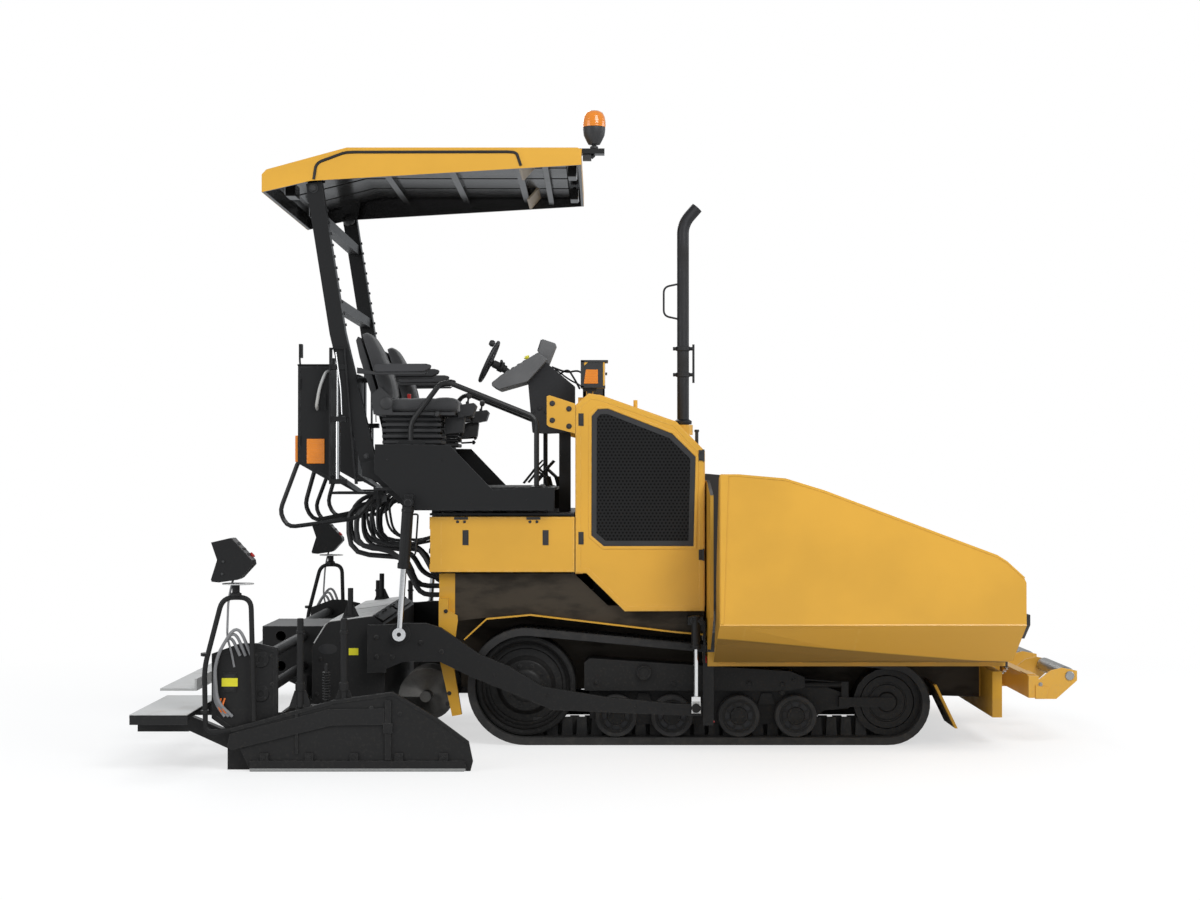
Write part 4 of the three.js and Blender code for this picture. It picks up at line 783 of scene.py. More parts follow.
# ---------------------------------------------------------------- hood, lamps, bracket
hood_trim, hood_black, lamp_amber, lamp_glass = Piece(), Piece(), Piece(), Piece()
for side in (1, -1):
    plate = [(-0.306, 2.004), (-0.29, 2.01), (-0.142, 1.962), (-0.142, 1.79), (-0.292, 1.829), (-0.306, 1.84)]
    hood_trim.plate(plate, 0.866 * side, 0.878 * side)
    for x, z in ((-0.274, 1.963), (-0.178, 1.932), (-0.274, 1.866), (-0.178, 1.832)):
        hood_black.bolt((x, 0.878 * side, z), (0, side, 0), 0.012)
    hood_trim.rod((0.205, 0.8 * side, 1.905), (0.205, 0.8 * side, 1.985), 0.012)
    hood_black.rod((0.56, 0.78 * side, 1.7), (0.56, 0.78 * side, 1.812), 0.01)
    hood_black.rod((0.56, 0.78 * side, 1.8), (0.56, 0.78 * side, 1.815), 0.014)
    low, high = (-0.112, 0.636 * side, 2.06), (0.031, 0.764 * side, 2.218)
    inner, outer = low[1], high[1]
    hood_black.block((low[0], inner, 2.058), (high[0], outer, 2.07))
    hood_black.block((low[0], inner, 2.206), (high[0] + 0.016, outer, 2.219))
    hood_black.block((low[0], inner, 2.06), (low[0] + 0.02, outer, 2.216))
    hood_black.block((high[0] - 0.012, inner, 2.06), (high[0], inner + 0.014 * side, 2.216))
    hood_black.block((low[0], inner, 2.06), (high[0], inner + 0.006 * side, 2.216))
    hood_black.plate([(-0.11, 2.062), (0.018, 2.062), (0.018, 2.214), (-0.06, 2.214), (-0.104, 2.176)], 0.752 * side,
                     0.761 * side)
    lamp_amber.plate([(-0.094, 2.082), (-0.012, 2.082), (-0.012, 2.164), (-0.082, 2.164)], 0.76 * side, 0.7638 * side)
    lamp_glass.block((0.0265, 0.652 * side, 2.074), (0.0305, 0.748 * side, 2.202))
    hood_black.rod((-0.06, 0.705 * side, 2.01), (-0.06, 0.705 * side, 2.06), 0.022)
    hood_black.block((-0.1, 0.68 * side, 2.04), (-0.02, 0.73 * side, 2.06))
for y in (-0.52, -0.17, 0.17, 0.52):
    hood_trim.plate([(0.02, 2.0), (0.43, 1.856), (0.43, 1.864), (0.02, 2.011)], y - 0.012, y + 0.012)
for y in (-0.4, 0.4):
    hood_black.block((-0.144, y - 0.12, 1.62), (-0.14, y + 0.12, 1.84))
hood_trim.done("hood_trim", yellow, "root", "yellow_paint", bevel=0.002)
hood_black.done("hood_fittings", plastic, "root", "black_plastic", bevel=0.002)
lamp_amber.done("indicator_lens", amber, "root", "amber_lens", bevel=0.0015)
lamp_glass.done("headlamp_lens", clear_lens, "root", "amber_lens", bevel=0.0015)

# ---------------------------------------------------------------- exhaust
STACK_X, STACK_Y = 0.495, -0.45
stack = Piece()
stack.tube([(STACK_X, STACK_Y, 1.85), (STACK_X, STACK_Y, 3.05), (STACK_X + 0.084, STACK_Y, 3.146)], 0.0355, 0.09, 40,
           10)
stack.turned([(0.036, 0), (0.05, 0.0), (0.052, 0.006), (0.052, 0.02), (0.036, 0.03)], (STACK_X, STACK_Y, 1.853), UP,
             40)
for z in (2.135, 2.29):
    stack.turned(collar(0.034, 0.042, 0.002, 0.026, 0.028), (STACK_X, STACK_Y, z), UP, 36)
    stack.block((STACK_X - 0.06, STACK_Y - 0.01, z + 0.004), (STACK_X - 0.035, STACK_Y + 0.01, z + 0.024))
    stack.block((STACK_X + 0.035, STACK_Y - 0.01, z + 0.004), (STACK_X + 0.066, STACK_Y + 0.01, z + 0.024))
    stack.bolt((STACK_X - 0.05, STACK_Y - 0.01, z + 0.014), (0, -1, 0), 0.007)
    stack.bolt((STACK_X + 0.052, STACK_Y - 0.01, z + 0.014), (0, -1, 0), 0.007)
stack.tube([(STACK_X + 0.062, STACK_Y, 2.1), (STACK_X + 0.062, STACK_Y, 2.33)], 0.007, 0.02, 10)
stack.tube([(STACK_X - 0.03, STACK_Y, 2.69), (STACK_X - 0.115, STACK_Y, 2.672), (STACK_X - 0.115, STACK_Y, 2.5),
            (STACK_X - 0.03, STACK_Y, 2.482)], 0.006, 0.035, 10)
stack.done("exhaust_pipe", stack_black, "root", "black_paint", replaces=("exhaust_stack",), angle=40)

# ---------------------------------------------------------------- hopper sides, push beam, nose
for tag, side in SIDES.items():
    body = "wing_" + BODY[tag]
    lip = Piece(side)
    lip.plate([(1.3, 0.8), (1.545, 0.8), (1.545, 0.745), (1.4, 0.66), (1.2, 0.66)], 2.28, 2.318, "x")
    lip.plate([(1.2, 0.67), (1.41, 0.67), (1.22, 0.56), (1.1, 0.56)], 2.25, 2.29, "x")
    lip.done("wing_flap_" + tag, rubber, body, "rubber")
    edge = Piece(side)
    y = 1.5505
    edge.plate([(0.65, 0.748), (0.665, 0.748), (0.692, 1.552), (0.65, 1.552)], y - 0.002, y + 0.004)
    edge.plate([(0.65, 1.545), (0.747, 1.545), (1.0, 1.522), (1.209, 1.458), (2.141, 1.109), (2.194, 1.076),
                (2.282, 0.995), (2.29, 1.001), (2.194, 1.089), (2.141, 1.1225), (1.209, 1.4715), (1.0, 1.5355),
                (0.747, 1.5575), (0.65, 1.5575)], y - 0.006, y + 0.002)
    edge.done("wing_edges_" + tag, finish_of("hopper_wing_" + tag), body, "yellow_paint", bevel=0.0015)
    hinge = Piece(side)
    for x in (0.72, 1.1, 1.48, 1.86, 2.2):
        hinge.rod((x - 0.05, 0.9746, 0.5), (x + 0.05, 0.9746, 0.5), 0.0128, 20)
    hinge.done("wing_hinges_" + tag, yellow, body, "yellow_paint")

push, pins = Piece(), Piece()
for side in (1, -1):
    for x, z in ((2.53, 0.305), (2.53, 0.35)):
        pins.bolt((x, 0.852 * side, z), (0, side, 0), 0.009)
    pins.turned(button(0.022, 0.026, 0.006, 0.01), (2.697, 0.852 * side, 0.4), (0, side, 0), 32)
    push.plate([(2.5, 0.268), (2.56, 0.268), (2.575, 0.33), (2.5, 0.345)], 0.851 * side, 0.861 * side)
    push.plate(rect(0.8 * side, 0.398, 0.6 * side, 0.404), 2.466, 2.516, "x")
    push.plate([(2.518, 0.275), (2.6, 0.3), (2.64, 0.345), (2.6, 0.352), (2.518, 0.34)], 0.826 * side, 0.838 * side)
for i in range(7):
    link = point(2.455 - 0.014 * i, -0.3, 0.385 - 0.01 * math.sin(math.pi * i / 6) * 3)
    pins.tube([link + Vector((-0.009, 0, 0.004)), link + Vector((-0.009, 0.002, -0.004)),
               link + Vector((0.009, 0.002, -0.004)), link + Vector((0.009, 0, 0.004)),
               link + Vector((-0.009, -0.002, 0.005))], 0.0024, 0.004, 8, 3)
pins.turned([(0, 0), (0.036, 0), (0.036, 0.008), (0.02, 0.012), (0.02, 0.02), (0, 0.022)], (2.4, 0, 0.4165), UP, 28)
push.done("push_trim", yellow, "truck_pusher", "yellow_paint", bevel=0.002)
pins.done("push_pins", bolt_steel, "truck_pusher", "worn_steel", bevel=0.0008)
for tag, side in SIDES.items():
    low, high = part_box("push_roller_" + tag)
    axis = Vector(((low.x + high.x) / 2, low.y, (low.z + high.z) / 2))
    long = high.y - low.y
    roller = Piece().turned([(0, 0), (0.021, 0), (0.021, 0.012), (0.036, 0.013), (0.0415, 0.019), (0.0428, 0.03),
                             (0.0428, long - 0.03), (0.0415, long - 0.019), (0.036, long - 0.013),
                             (0.021, long - 0.012), (0.021, long), (0, long)], axis, (0, 1, 0), 48)
    roller.done("roller_skin_" + tag, steel, "roller_" + BODY[tag], "worn_steel", replaces=("push_roller_" + tag,))

# ---------------------------------------------------------------- seats
SEAT_MID = 0.66


def padding(piece, stations, middle):
    """A stuffed form with two sewn seams: stations of (x, z, lean, half width, thickness), from end to end."""
    across = [(-1.0, 0.42), (-0.985, 0.74), (-0.88, 0.97), (-0.7, 0.98), (-0.645, 0.8), (-0.59, 0.94), (-0.3, 1.0),
              (0, 1.02), (0.3, 1.0), (0.59, 0.94), (0.645, 0.8), (0.7, 0.98), (0.88, 0.97), (0.985, 0.74),
              (1.0, 0.42), (0.97, 0.1), (0.8, 0.0), (0, 0.0), (-0.8, 0.0), (-0.97, 0.1)]
    rings = []
    for x, z, lean, half, thick in stations:
        up = Vector((-math.sin(lean), 0, math.cos(lean)))
        rings.append([piece.mesh.verts.new(point(x, middle + u * half, z) + up * h * thick) for u, h in across])
    piece.skin(rings, ends=True)


for tag, side in SIDES.items():
    y = SEAT_MID * side
    cushion = Piece()
    padding(cushion, [(-1.222, 1.922, 0, 0.18, 0.055), (-1.218, 1.916, 0, 0.196, 0.07),
                      (-1.19, 1.9145, 0, 0.203, 0.08), (-1.1, 1.9145, 0, 0.207, 0.084),
                      (-1.09, 1.9145, 0, 0.207, 0.077), (-1.08, 1.9145, 0, 0.207, 0.084),
                      (-0.96, 1.9145, 0, 0.207, 0.086), (-0.95, 1.9145, 0, 0.207, 0.079),
                      (-0.94, 1.9145, 0, 0.207, 0.087), (-0.875, 1.9145, 0, 0.206, 0.09),
                      (-0.835, 1.9145, 0, 0.2, 0.082), (-0.818, 1.918, 0, 0.19, 0.06),
                      (-0.814, 1.924, 0, 0.18, 0.04)], y)
    lean = -1.15
    backrest = [(-1.256, 1.965, 0.165, 0.055), (-1.259, 1.975, 0.185, 0.078), (-1.268, 2.0, 0.196, 0.088),
                (-1.288, 2.08, 0.203, 0.092), (-1.291, 2.09, 0.203, 0.085), (-1.294, 2.1, 0.203, 0.092),
                (-1.322, 2.19, 0.2, 0.086), (-1.325, 2.2, 0.2, 0.078), (-1.328, 2.21, 0.199, 0.084),
                (-1.358, 2.3, 0.186, 0.068), (-1.372, 2.342, 0.168, 0.056), (-1.378, 2.36, 0.145, 0.04),
                (-1.38, 2.366, 0.125, 0.026)]
    padding(cushion, [(x, z, lean, half, thick) for x, z, half, thick in backrest], y)
    seat = cushion.done("seat_soft_" + tag, cloth, "root", "seat_fabric", subdivide=1, replaces=("seat_pad_" + tag,))

    rests = Piece()
    for way in (-1, 1):
        a = y + way * 0.28
        rests.plate([(-1.292, 2.151), (-1.288, 2.178), (-1.272, 2.186), (-0.992, 2.187), (-0.962, 2.18),
                     (-0.968, 2.159), (-1.002, 2.141), (-1.272, 2.137)], a - 0.027, a + 0.027)
    pads = rests.done("armrest_soft_" + tag, armrest, "root", "seat_fabric", bevel=0.008)

    frame_piece = Piece()
    frame_piece.block((-1.228, y - 0.172, 1.481), (-0.952, y + 0.172, 1.729))
    frame_piece.block((-1.29, y - 0.212, 1.8955), (-0.835, y + 0.212, 1.9125))
    shell = [(-1.286, 1.9), (-1.262, 1.93), (-1.285, 2.02), (-1.345, 2.23), (-1.384, 2.346), (-1.398, 2.352),
             (-1.41, 2.33), (-1.388, 2.23), (-1.322, 2.02), (-1.3, 1.925)]
    frame_piece.plate(shell, y - 0.15, y + 0.15)
    for way in (-1, 1):
        a = y + way * 0.28
        frame_piece.plate([(-1.385, 2.132), (-1.27, 2.125), (-1.0, 2.128), (-0.985, 2.138), (-1.29, 2.142),
                           (-1.385, 2.166)], a - 0.018, a + 0.018)
        frame_piece.turned([(0.01, 0), (0.034, 0), (0.036, 0.004), (0.036, 0.014), (0.03, 0.018), (0, 0.018)],
                           (-1.225, y + way * 0.206, 1.965), (0, way, 0), 28)
        frame_piece.plate([(-1.3, 1.9), (-1.19, 1.9), (-1.2, 2.0), (-1.262, 2.06), (-1.316, 2.01)], y + way * 0.204,
                          y + way * 0.214)
        frame_piece.rod((-0.93, y + way * 0.17, 1.89), (-0.93, y + way * 0.262, 1.9), 0.009, 12)
        frame_piece.turned([(0, 0), (0.017, 0.002), (0.019, 0.02), (0.012, 0.034), (0, 0.036)],
                           (-0.93, y + way * 0.25, 1.899), (0, way, 0), 18)
    frame_piece.rod((-1.366, y - 0.3, 2.15), (-1.366, y + 0.3, 2.15), 0.014)
    frame_piece.block((-1.14, y - 0.23 * side - 0.02, 1.93), (-1.11, y - 0.23 * side + 0.02, 2.0))
    frame_piece.done("seat_carrier_" + tag, plastic, "root", "black_plastic", bevel=0.004,
                     replaces=("seat_frame_" + tag,))
    bellows = Piece()
    for i in range(5):
        z = 1.73 + 0.0334 * i
        wide = 0.166 if i % 2 == 0 else 0.174
        bellows.block((-1.256, y - wide, z), (-0.914, y + wide, z + 0.0235))
        bellows.block((-1.235, y - 0.15, z + 0.018), (-0.935, y + 0.15, z + 0.036))
    bellows.done("seat_bellows_" + tag, rubber, "root", "black_plastic", bevel=0.007)
    buckle = Piece().block((-1.15, y - 0.225 * side - 0.012, 1.995), (-1.128, y - 0.225 * side + 0.012, 2.035))
    buckle.done("seat_buckle_" + tag, knob_red, "root", "black_plastic", bevel=0.004)

    pod = Piece()
    py = y - 0.02 * side
    pod.plate([(-0.826, 1.885), (-0.74, 1.902), (-0.722, 1.955), (-0.736, 1.972), (-0.812, 1.962), (-0.83, 1.93)],
              py - 0.075, py + 0.075)
    pod.plate([(-0.905, 1.79), (-0.8, 1.8), (-0.79, 1.885), (-0.8, 1.9), (-0.905, 1.88)], py - 0.05, py + 0.05)
    for i in range(4):
        z = 1.76 + 0.03 * i
        pod.rod((-0.912, py + 0.1 - 0.02 * i, z), (-0.842 + 0.012 * (i % 2), py + 0.1 - 0.02 * i, z + 0.004), 0.006,
                10)
        pod.turned([(0, 0), (0.013, 0.003), (0.014, 0.016), (0, 0.026)],
                   (-0.842 + 0.012 * (i % 2), py + 0.1 - 0.02 * i, z + 0.004), (1, 0, 0), 14)
    pod.rod((-0.775, py - 0.03, 1.966), (-0.768, py - 0.03, 2.005), 0.006, 12)
    pod.turned([(0, 0), (0.01, 0), (0.017, 0.012), (0.016, 0.03), (0, 0.04)], (-0.768, py - 0.03, 1.998), (0.1, 0, 1),
               18)
    pod.rod((-0.78, py + 0.04, 1.966), (-0.78, py + 0.04, 1.984), 0.01, 14)
    pod.done("lever_pod_" + tag, plastic, "root", "black_plastic", bevel=0.004)

# ---------------------------------------------------------------- console and steering
MID = -0.35
body = Piece()
body.plate([(-0.606, 2.128), (-0.59, 2.142), (-0.367, 2.279), (-0.309, 2.236), (-0.427, 2.105), (-0.598, 2.056),
            (-0.64, 2.078), (-0.642, 2.1)], MID - 0.178, MID + 0.178)
body.plate([(-0.35, 2.25), (-0.372, 2.29), (-0.35, 2.36), (-0.342, 2.363), (-0.266, 2.338), (-0.262, 2.326),
            (-0.306, 2.214), (-0.33, 2.215)], MID - 0.088, MID + 0.108)
body.done("console_top", console_grey, "root", "black_plastic", bevel=0.007, replaces=("console",))
under = Piece()
under.plate([(-0.43, 2.11), (-0.403, 1.806), (-0.33, 1.8), (-0.15, 1.806), (-0.15, 2.08), (-0.33, 2.23)], MID - 0.094,
            MID + 0.094)
under.block((-0.245, MID - 0.044, 1.333), (-0.176, MID + 0.044, 1.81))
axis_way = Vector((math.sin(math.atan2(0.246, 0.118)), 0, -math.cos(math.atan2(0.246, 0.118))))
hub = point(-0.666, MID, 2.233)
under.rod(hub + axis_way * 0.026, hub + axis_way * 0.112, 0.0235, 24)
under.rod(hub + axis_way * 0.09, (-0.505, MID, 2.13), 0.02, 20)
under.turned(collar(0.024, 0.03, 0.002, 0.03, 0.034), hub + axis_way * 0.06, axis_way, 24)
for way in (-1, 1):
    under.rod(hub + axis_way * 0.075, hub + axis_way * 0.075 + Vector((0.012, 0.115 * way, 0.026)), 0.0055, 10)
    under.rod(hub + axis_way * 0.075 + Vector((0.01, 0.085 * way, 0.02)),
              hub + axis_way * 0.075 + Vector((0.013, 0.125 * way, 0.029)), 0.009, 12)
for i in range(5):
    x = -0.4 + 0.04 * i
    under.rod((x, MID - 0.0935, 1.93 + 0.02 * (i % 2)), (x, MID - 0.1005, 1.93 + 0.02 * (i % 2)), 0.012, 16)
under.tube([(-0.29, MID - 0.02, 2.2), (-0.2, MID - 0.03, 2.165), (-0.12, -0.5, 2.175), (-0.075, -0.66, 2.1)], 0.006,
           0.08, 8)
under.tube([(-0.27, MID + 0.03, 2.19), (-0.18, MID, 2.12), (-0.12, -0.45, 2.09), (-0.085, -0.62, 2.04)], 0.005, 0.06,
           8)
under.tube([(-0.25, MID - 0.05, 2.15), (-0.19, -0.45, 2.185), (-0.14, -0.55, 2.1), (-0.12, -0.6, 2.06)], 0.006, 0.06,
           8)
under.tube([(-0.335, -0.2, 1.85), (-0.33, -0.2, 1.6), (-0.32, -0.22, 1.49)], 0.01, 0.06, 10)
under.done("console_stand", stack_black, "root", "black_plastic", bevel=0.004)
panel = Piece()
way_up = Vector((0.854, 0, 0.52)).normalized()
top_out = Vector((-0.52, 0, 0.854)).normalized()
base = point(-0.59, MID, 2.1415)
for row in range(4):
    for col in range(6):
        spot = base + way_up * (0.045 + 0.04 * row) + Vector((0, -0.14 + 0.046 * col, 0))
        panel.turned([(0.01, 0), (0.0105, 0.004), (0.008, 0.006), (0, 0.006)], spot, top_out, 12)
panel.done("console_buttons", plastic, "root", "black_plastic")
for i, (row, col, colour) in enumerate(((3.6, 5, knob_red), (3.6, 0, label_yellow))):
    knob = Piece().turned([(0.012, 0), (0.012, 0.008), (0.017, 0.01), (0.017, 0.018), (0.01, 0.022), (0, 0.022)],
                          base + way_up * (0.045 + 0.04 * row) + Vector((0, -0.14 + 0.046 * col, 0)), top_out, 20)
    knob.done("console_knob_%d" % i, colour, "root", "black_plastic")
glass = Piece().plate([(-0.3705, 2.29), (-0.3755, 2.2955), (-0.3545, 2.3605), (-0.349, 2.3585)], MID - 0.07,
                      MID + 0.09)
glass.done("console_screen", screen, "root", "black_plastic")
wheel = Piece()
turn = Vector((0, 0, 1)).rotation_difference(axis_way).to_matrix().to_4x4()
where = Matrix.Translation(hub) @ turn
rings = []
for t in spread(48):
    out = Vector((math.cos(t), math.sin(t), 0))
    rings.append([wheel.mesh.verts.new(where @ (out * (0.127 + 0.011 * math.cos(a)) + Vector((0, 0,
        0.011 * math.sin(a))))) for a in spread(12)])
wheel.skin(rings + rings[:1])
for t in spread(3):
    out = Vector((math.cos(t + 0.5), math.sin(t + 0.5), 0))
    wheel.tube([where @ (out * 0.02 + Vector((0, 0, 0.012))), where @ (out * 0.08 + Vector((0, 0, 0.008))),
                where @ (out * 0.122)], 0.006, 0.03, 10)
wheel.turned([(0, -0.012), (0.024, -0.012), (0.03, -0.004), (0.03, 0.018), (0.02, 0.024), (0, 0.024)], hub, axis_way,
             28)
knob_at = where @ Vector((0.127 * math.cos(2.6), 0.127 * math.sin(2.6), 0))
wheel.turned([(0.008, 0.0), (0.008, 0.02), (0.019, 0.026), (0.021, 0.04), (0.014, 0.054), (0, 0.056)], knob_at,
             -axis_way, 22)
wheel.done("steering_skin", plastic, "steering", "black_plastic", angle=50, replaces=("steering_wheel",))

# ---------------------------------------------------------------- deck trim, pedals, handrails
deck_trim = Piece()
for x, y in ((-0.46, -0.47), (-0.4, -0.28), (-0.46, 0.3), (-0.41, 0.48)):
    deck_trim.plate([(x, 1.505), (x + 0.012, 1.5), (x + 0.085, 1.592), (x + 0.076, 1.6)], y - 0.035, y + 0.035)
    deck_trim.rod((x + 0.075, y, 1.59), (x + 0.135, y, 1.535), 0.007, 10)
    deck_trim.rod((x + 0.135, y, 1.54), (x + 0.15, y, 1.484), 0.012, 12)
    deck_trim.rod((x + 0.06, y - 0.012, 1.575), (x + 0.12, y - 0.012, 1.64), 0.0055, 10)
for side in (1, -1):
    for x in (-1.084, -0.363):
        deck_trim.turned([(0.0155, 0), (0.034, 0), (0.034, 0.006), (0.02, 0.012), (0.0155, 0.012)],
                         (x, 0.9 * side, 1.4805), UP, 28)
    deck_trim.plate([(-1.165, 1.728), (-1.145, 1.752), (-1.02, 1.752), (-1.0, 1.728)], 0.89 * side, 0.915 * side)
    for x, z in ((-1.215, 1.64), (-0.9, 1.64), (-1.15, 1.44), (-0.75, 1.41), (-0.42, 1.41)):
        deck_trim.bolt((x, 0.9345 * side, z), (0, side, 0), 0.005, False)
deck_trim.done("deck_trim", charcoal, "root", "charcoal_paint", bevel=0.0015)
mat_piece = Piece().block((-0.84, -0.86, 1.48), (-0.3, 0.86, 1.4832))
mat_piece.block((-1.25, -0.42, 1.48), (-0.84, 0.42, 1.4832))
mat_piece.done("deck_mat", tread_dark, "root", "charcoal_paint")

# ---------------------------------------------------------------- cabinets and posts
for tag, side in SIDES.items():
    outer = 0.748
    trim, pale = Piece(side), Piece(side)
    trim.ring([(-1.745, 1.64), (-1.745, 2.18), (-1.562, 2.18), (-1.562, 1.53)],
              [(-1.738, 1.645), (-1.738, 2.172), (-1.569, 2.172), (-1.569, 1.54)], outer - 0.001, outer + 0.0015)
    trim.block((-1.757, 0.44, 2.186), (-1.55, outer, 2.196))
    trim.block((-1.6, outer, 1.93), (-1.588, outer + 0.008, 2.02))
    for z in (1.75, 2.08):
        trim.rod((-1.741, outer + 0.003, z - 0.03), (-1.741, outer + 0.003, z + 0.03), 0.006, 10)
    trim.tube([(-1.748, outer - 0.05, 2.19), (-1.752, outer - 0.05, 2.225), (-1.748, outer - 0.05, 2.3)], 0.006, 0.02,
              8)
    trim.block((-1.7535, outer - 0.075, 2.235), (-1.735, outer - 0.025, 2.315))
    trim.done("cabinet_trim_" + tag, charcoal, "root", "charcoal_paint", bevel=0.0012)
    pale.tube([(-1.562, outer + 0.004, 2.155), (-1.585, outer + 0.046, 2.15), (-1.622, outer + 0.046, 2.06),
               (-1.64, outer + 0.046, 1.95), (-1.64, outer + 0.006, 1.935)], 0.009, 0.045, 12)
    pale.done("cabinet_handle_" + tag, step_grey, "root", "grey_tread")
    lamp_piece = Piece(side)
    lamp_piece.block((-1.702, outer - 0.004, 1.618), (-1.598, outer + 0.006, 1.762))
    lamp_piece.block((-1.7545, 0.64, 1.628), (-1.772, 0.735, 1.782))
    lamp_piece.done("cabinet_lamps_" + tag, amber, "root", "amber_lens", bevel=0.003)

    posts, rods = Piece(side), Piece(side)
    posts.ring([(-1.558, 1.5), (-1.558, 2.285), (-1.465, 2.285), (-1.4, 1.5)],
               [(-1.549, 1.5), (-1.549, 2.278), (-1.474, 2.278), (-1.41, 1.5)], 0.78, 0.858)
    for z0, z1 in ((1.5, 1.53), (1.86, 1.89), (2.16, 2.19)):
        posts.block((-1.555, 0.785, z0), (-1.462, 0.85, z1))
    posts.done("post_channel_" + tag, charcoal, "posts", "charcoal_paint", bevel=0.0015)
    rods.rod((-1.512, 0.83, 1.52), (-1.512, 0.83, 1.87), 0.014, 20)
    rods.rod((-1.512, 0.83, 1.88), (-1.512, 0.83, 2.18), 0.0075, 16)
    rods.tube([(-1.485, 0.846, 1.9), (-1.49, 0.852, 2.05), (-1.52, 0.846, 2.26)], 0.004, 0.05, 8)
    rods.done("post_rods_" + tag, chrome, "posts", "chrome", bevel=0.0006)
    marks = Piece(side)
    for i in range(11):
        t = i / 10
        x, z = -1.472 - 0.108 * t, 2.42 + 0.66 * t
        marks.turned(collar(0, 0.008, 0, 0.008, 0.009), (x, 0.8, z), (1, 0, 0.155), 12)
    for z, x in ((1.6, -1.33), (1.66, -1.345), (3.205, -1.652)):
        marks.bolt((x, 0.8405, z), OUT, 0.02 if z > 3 else 0.012)
    marks.done("post_bolts_" + tag, plastic, "posts", "black_plastic")

# ---------------------------------------------------------------- canopy
for tag, side in SIDES.items():
    groove, pale = Piece(side), Piece(side)
    y = 0.8752
    groove.tube([(-1.645, y, 3.252), (-1.632, y, 3.345), (-1.47, y, 3.405), (-1.42, y, 3.408), (-0.52, y, 3.41),
                 (-0.48, y, 3.405), (-0.455, y, 3.33)], 0.0085, 0.035, 10)
    groove.done("canopy_groove_" + tag, stack_black, "roof", "black_paint")
    pale.plate([(-0.468, 3.318), (-0.452, 3.318), (-0.38, 3.402), (-0.396, 3.402)], 0.4, 0.856)
    pale.block((-0.345, 0.4, 3.378), (-0.325, 0.856, 3.39))
    pale.done("canopy_braces_" + tag, brace_beige, "roof", "grey_tread", bevel=0.001)
lining = Piece()
for i in range(4):
    y = -0.63 + 0.42 * i
    lining.plate([(-0.2, 3.402), (-1.452, 3.402), (-1.88, 3.3), (-1.872, 3.284), (-1.448, 3.388), (-0.2, 3.388)],
                 y - 0.19, y + 0.19)
lining.block((-0.338, -0.855, 3.34), (-0.302, 0.855, 3.375))
for side in (1, -1):
    lining.turned([(0, 0), (0.04, 0), (0.04, 0.012), (0.026, 0.018), (0, 0.018)], (-1.652, 0.732 * side, 3.225),
                  (0, -side, 0), 28)
    lining.block((-0.19, 0.48 * side - 0.085, 3.315), (-0.14, 0.48 * side + 0.085, 3.385))
    lining.block((-0.175, 0.48 * side - 0.015, 3.38), (-0.155, 0.48 * side + 0.015, 3.405))
    lining.block((-1.86, 0.48 * side - 0.085, 3.2), (-1.8, 0.48 * side + 0.085, 3.275))
lining.done("canopy_lining", canopy_black, "roof", "black_plastic", bevel=0.004)
work = Piece()
for side in (1, -1):
    work.block((-0.1405, 0.48 * side - 0.075, 3.322), (-0.136, 0.48 * side + 0.075, 3.378))
    work.block((-1.8605, 0.48 * side - 0.075, 3.21), (-1.865, 0.48 * side + 0.075, 3.265))
work.done("canopy_lamps", clear_lens, "roof", "amber_lens", bevel=0.001)
low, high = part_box("beacon")
middle = Vector(((low.x + high.x) / 2, (low.y + high.y) / 2, 0))
foot = middle + Vector((0, 0, 3.436))
base_piece = Piece()
base_piece.turned([(0, 0.028), (0.034, 0.028), (0.046, 0.05), (0.06, 0.08), (0.0645, 0.115), (0.064, 0.128),
                   (0, 0.128)], foot, UP, 40)
base_piece.rod(foot + Vector((0, 0, -0.012)), foot + Vector((0, 0, 0.034)), 0.013, 18)
base_piece.turned(collar(0.013, 0.024, 0.002, 0.014, 0.018), foot + Vector((0, 0, 0.002)), UP, 24)
base_piece.block((-0.1, middle.y - 0.03, 3.372), (-0.05, middle.y + 0.03, 3.404))
base_piece.rod((-0.052, middle.y, 3.388), (-0.034, middle.y, 3.405), 0.012, 14)
base_piece.done("beacon_base", plastic, "roof", "black_plastic", bevel=0.002)
dome = Piece()
dome.turned([(0, 0.128), (0.0655, 0.128), (0.067, 0.14), (0.066, 0.162), (0.061, 0.19), (0.05, 0.211), (0.03, 0.222),
             (0, 0.2249)], foot, UP, 48)
dome.done("beacon_dome", amber, "roof", "amber_lens", replaces=("beacon",), angle=60)

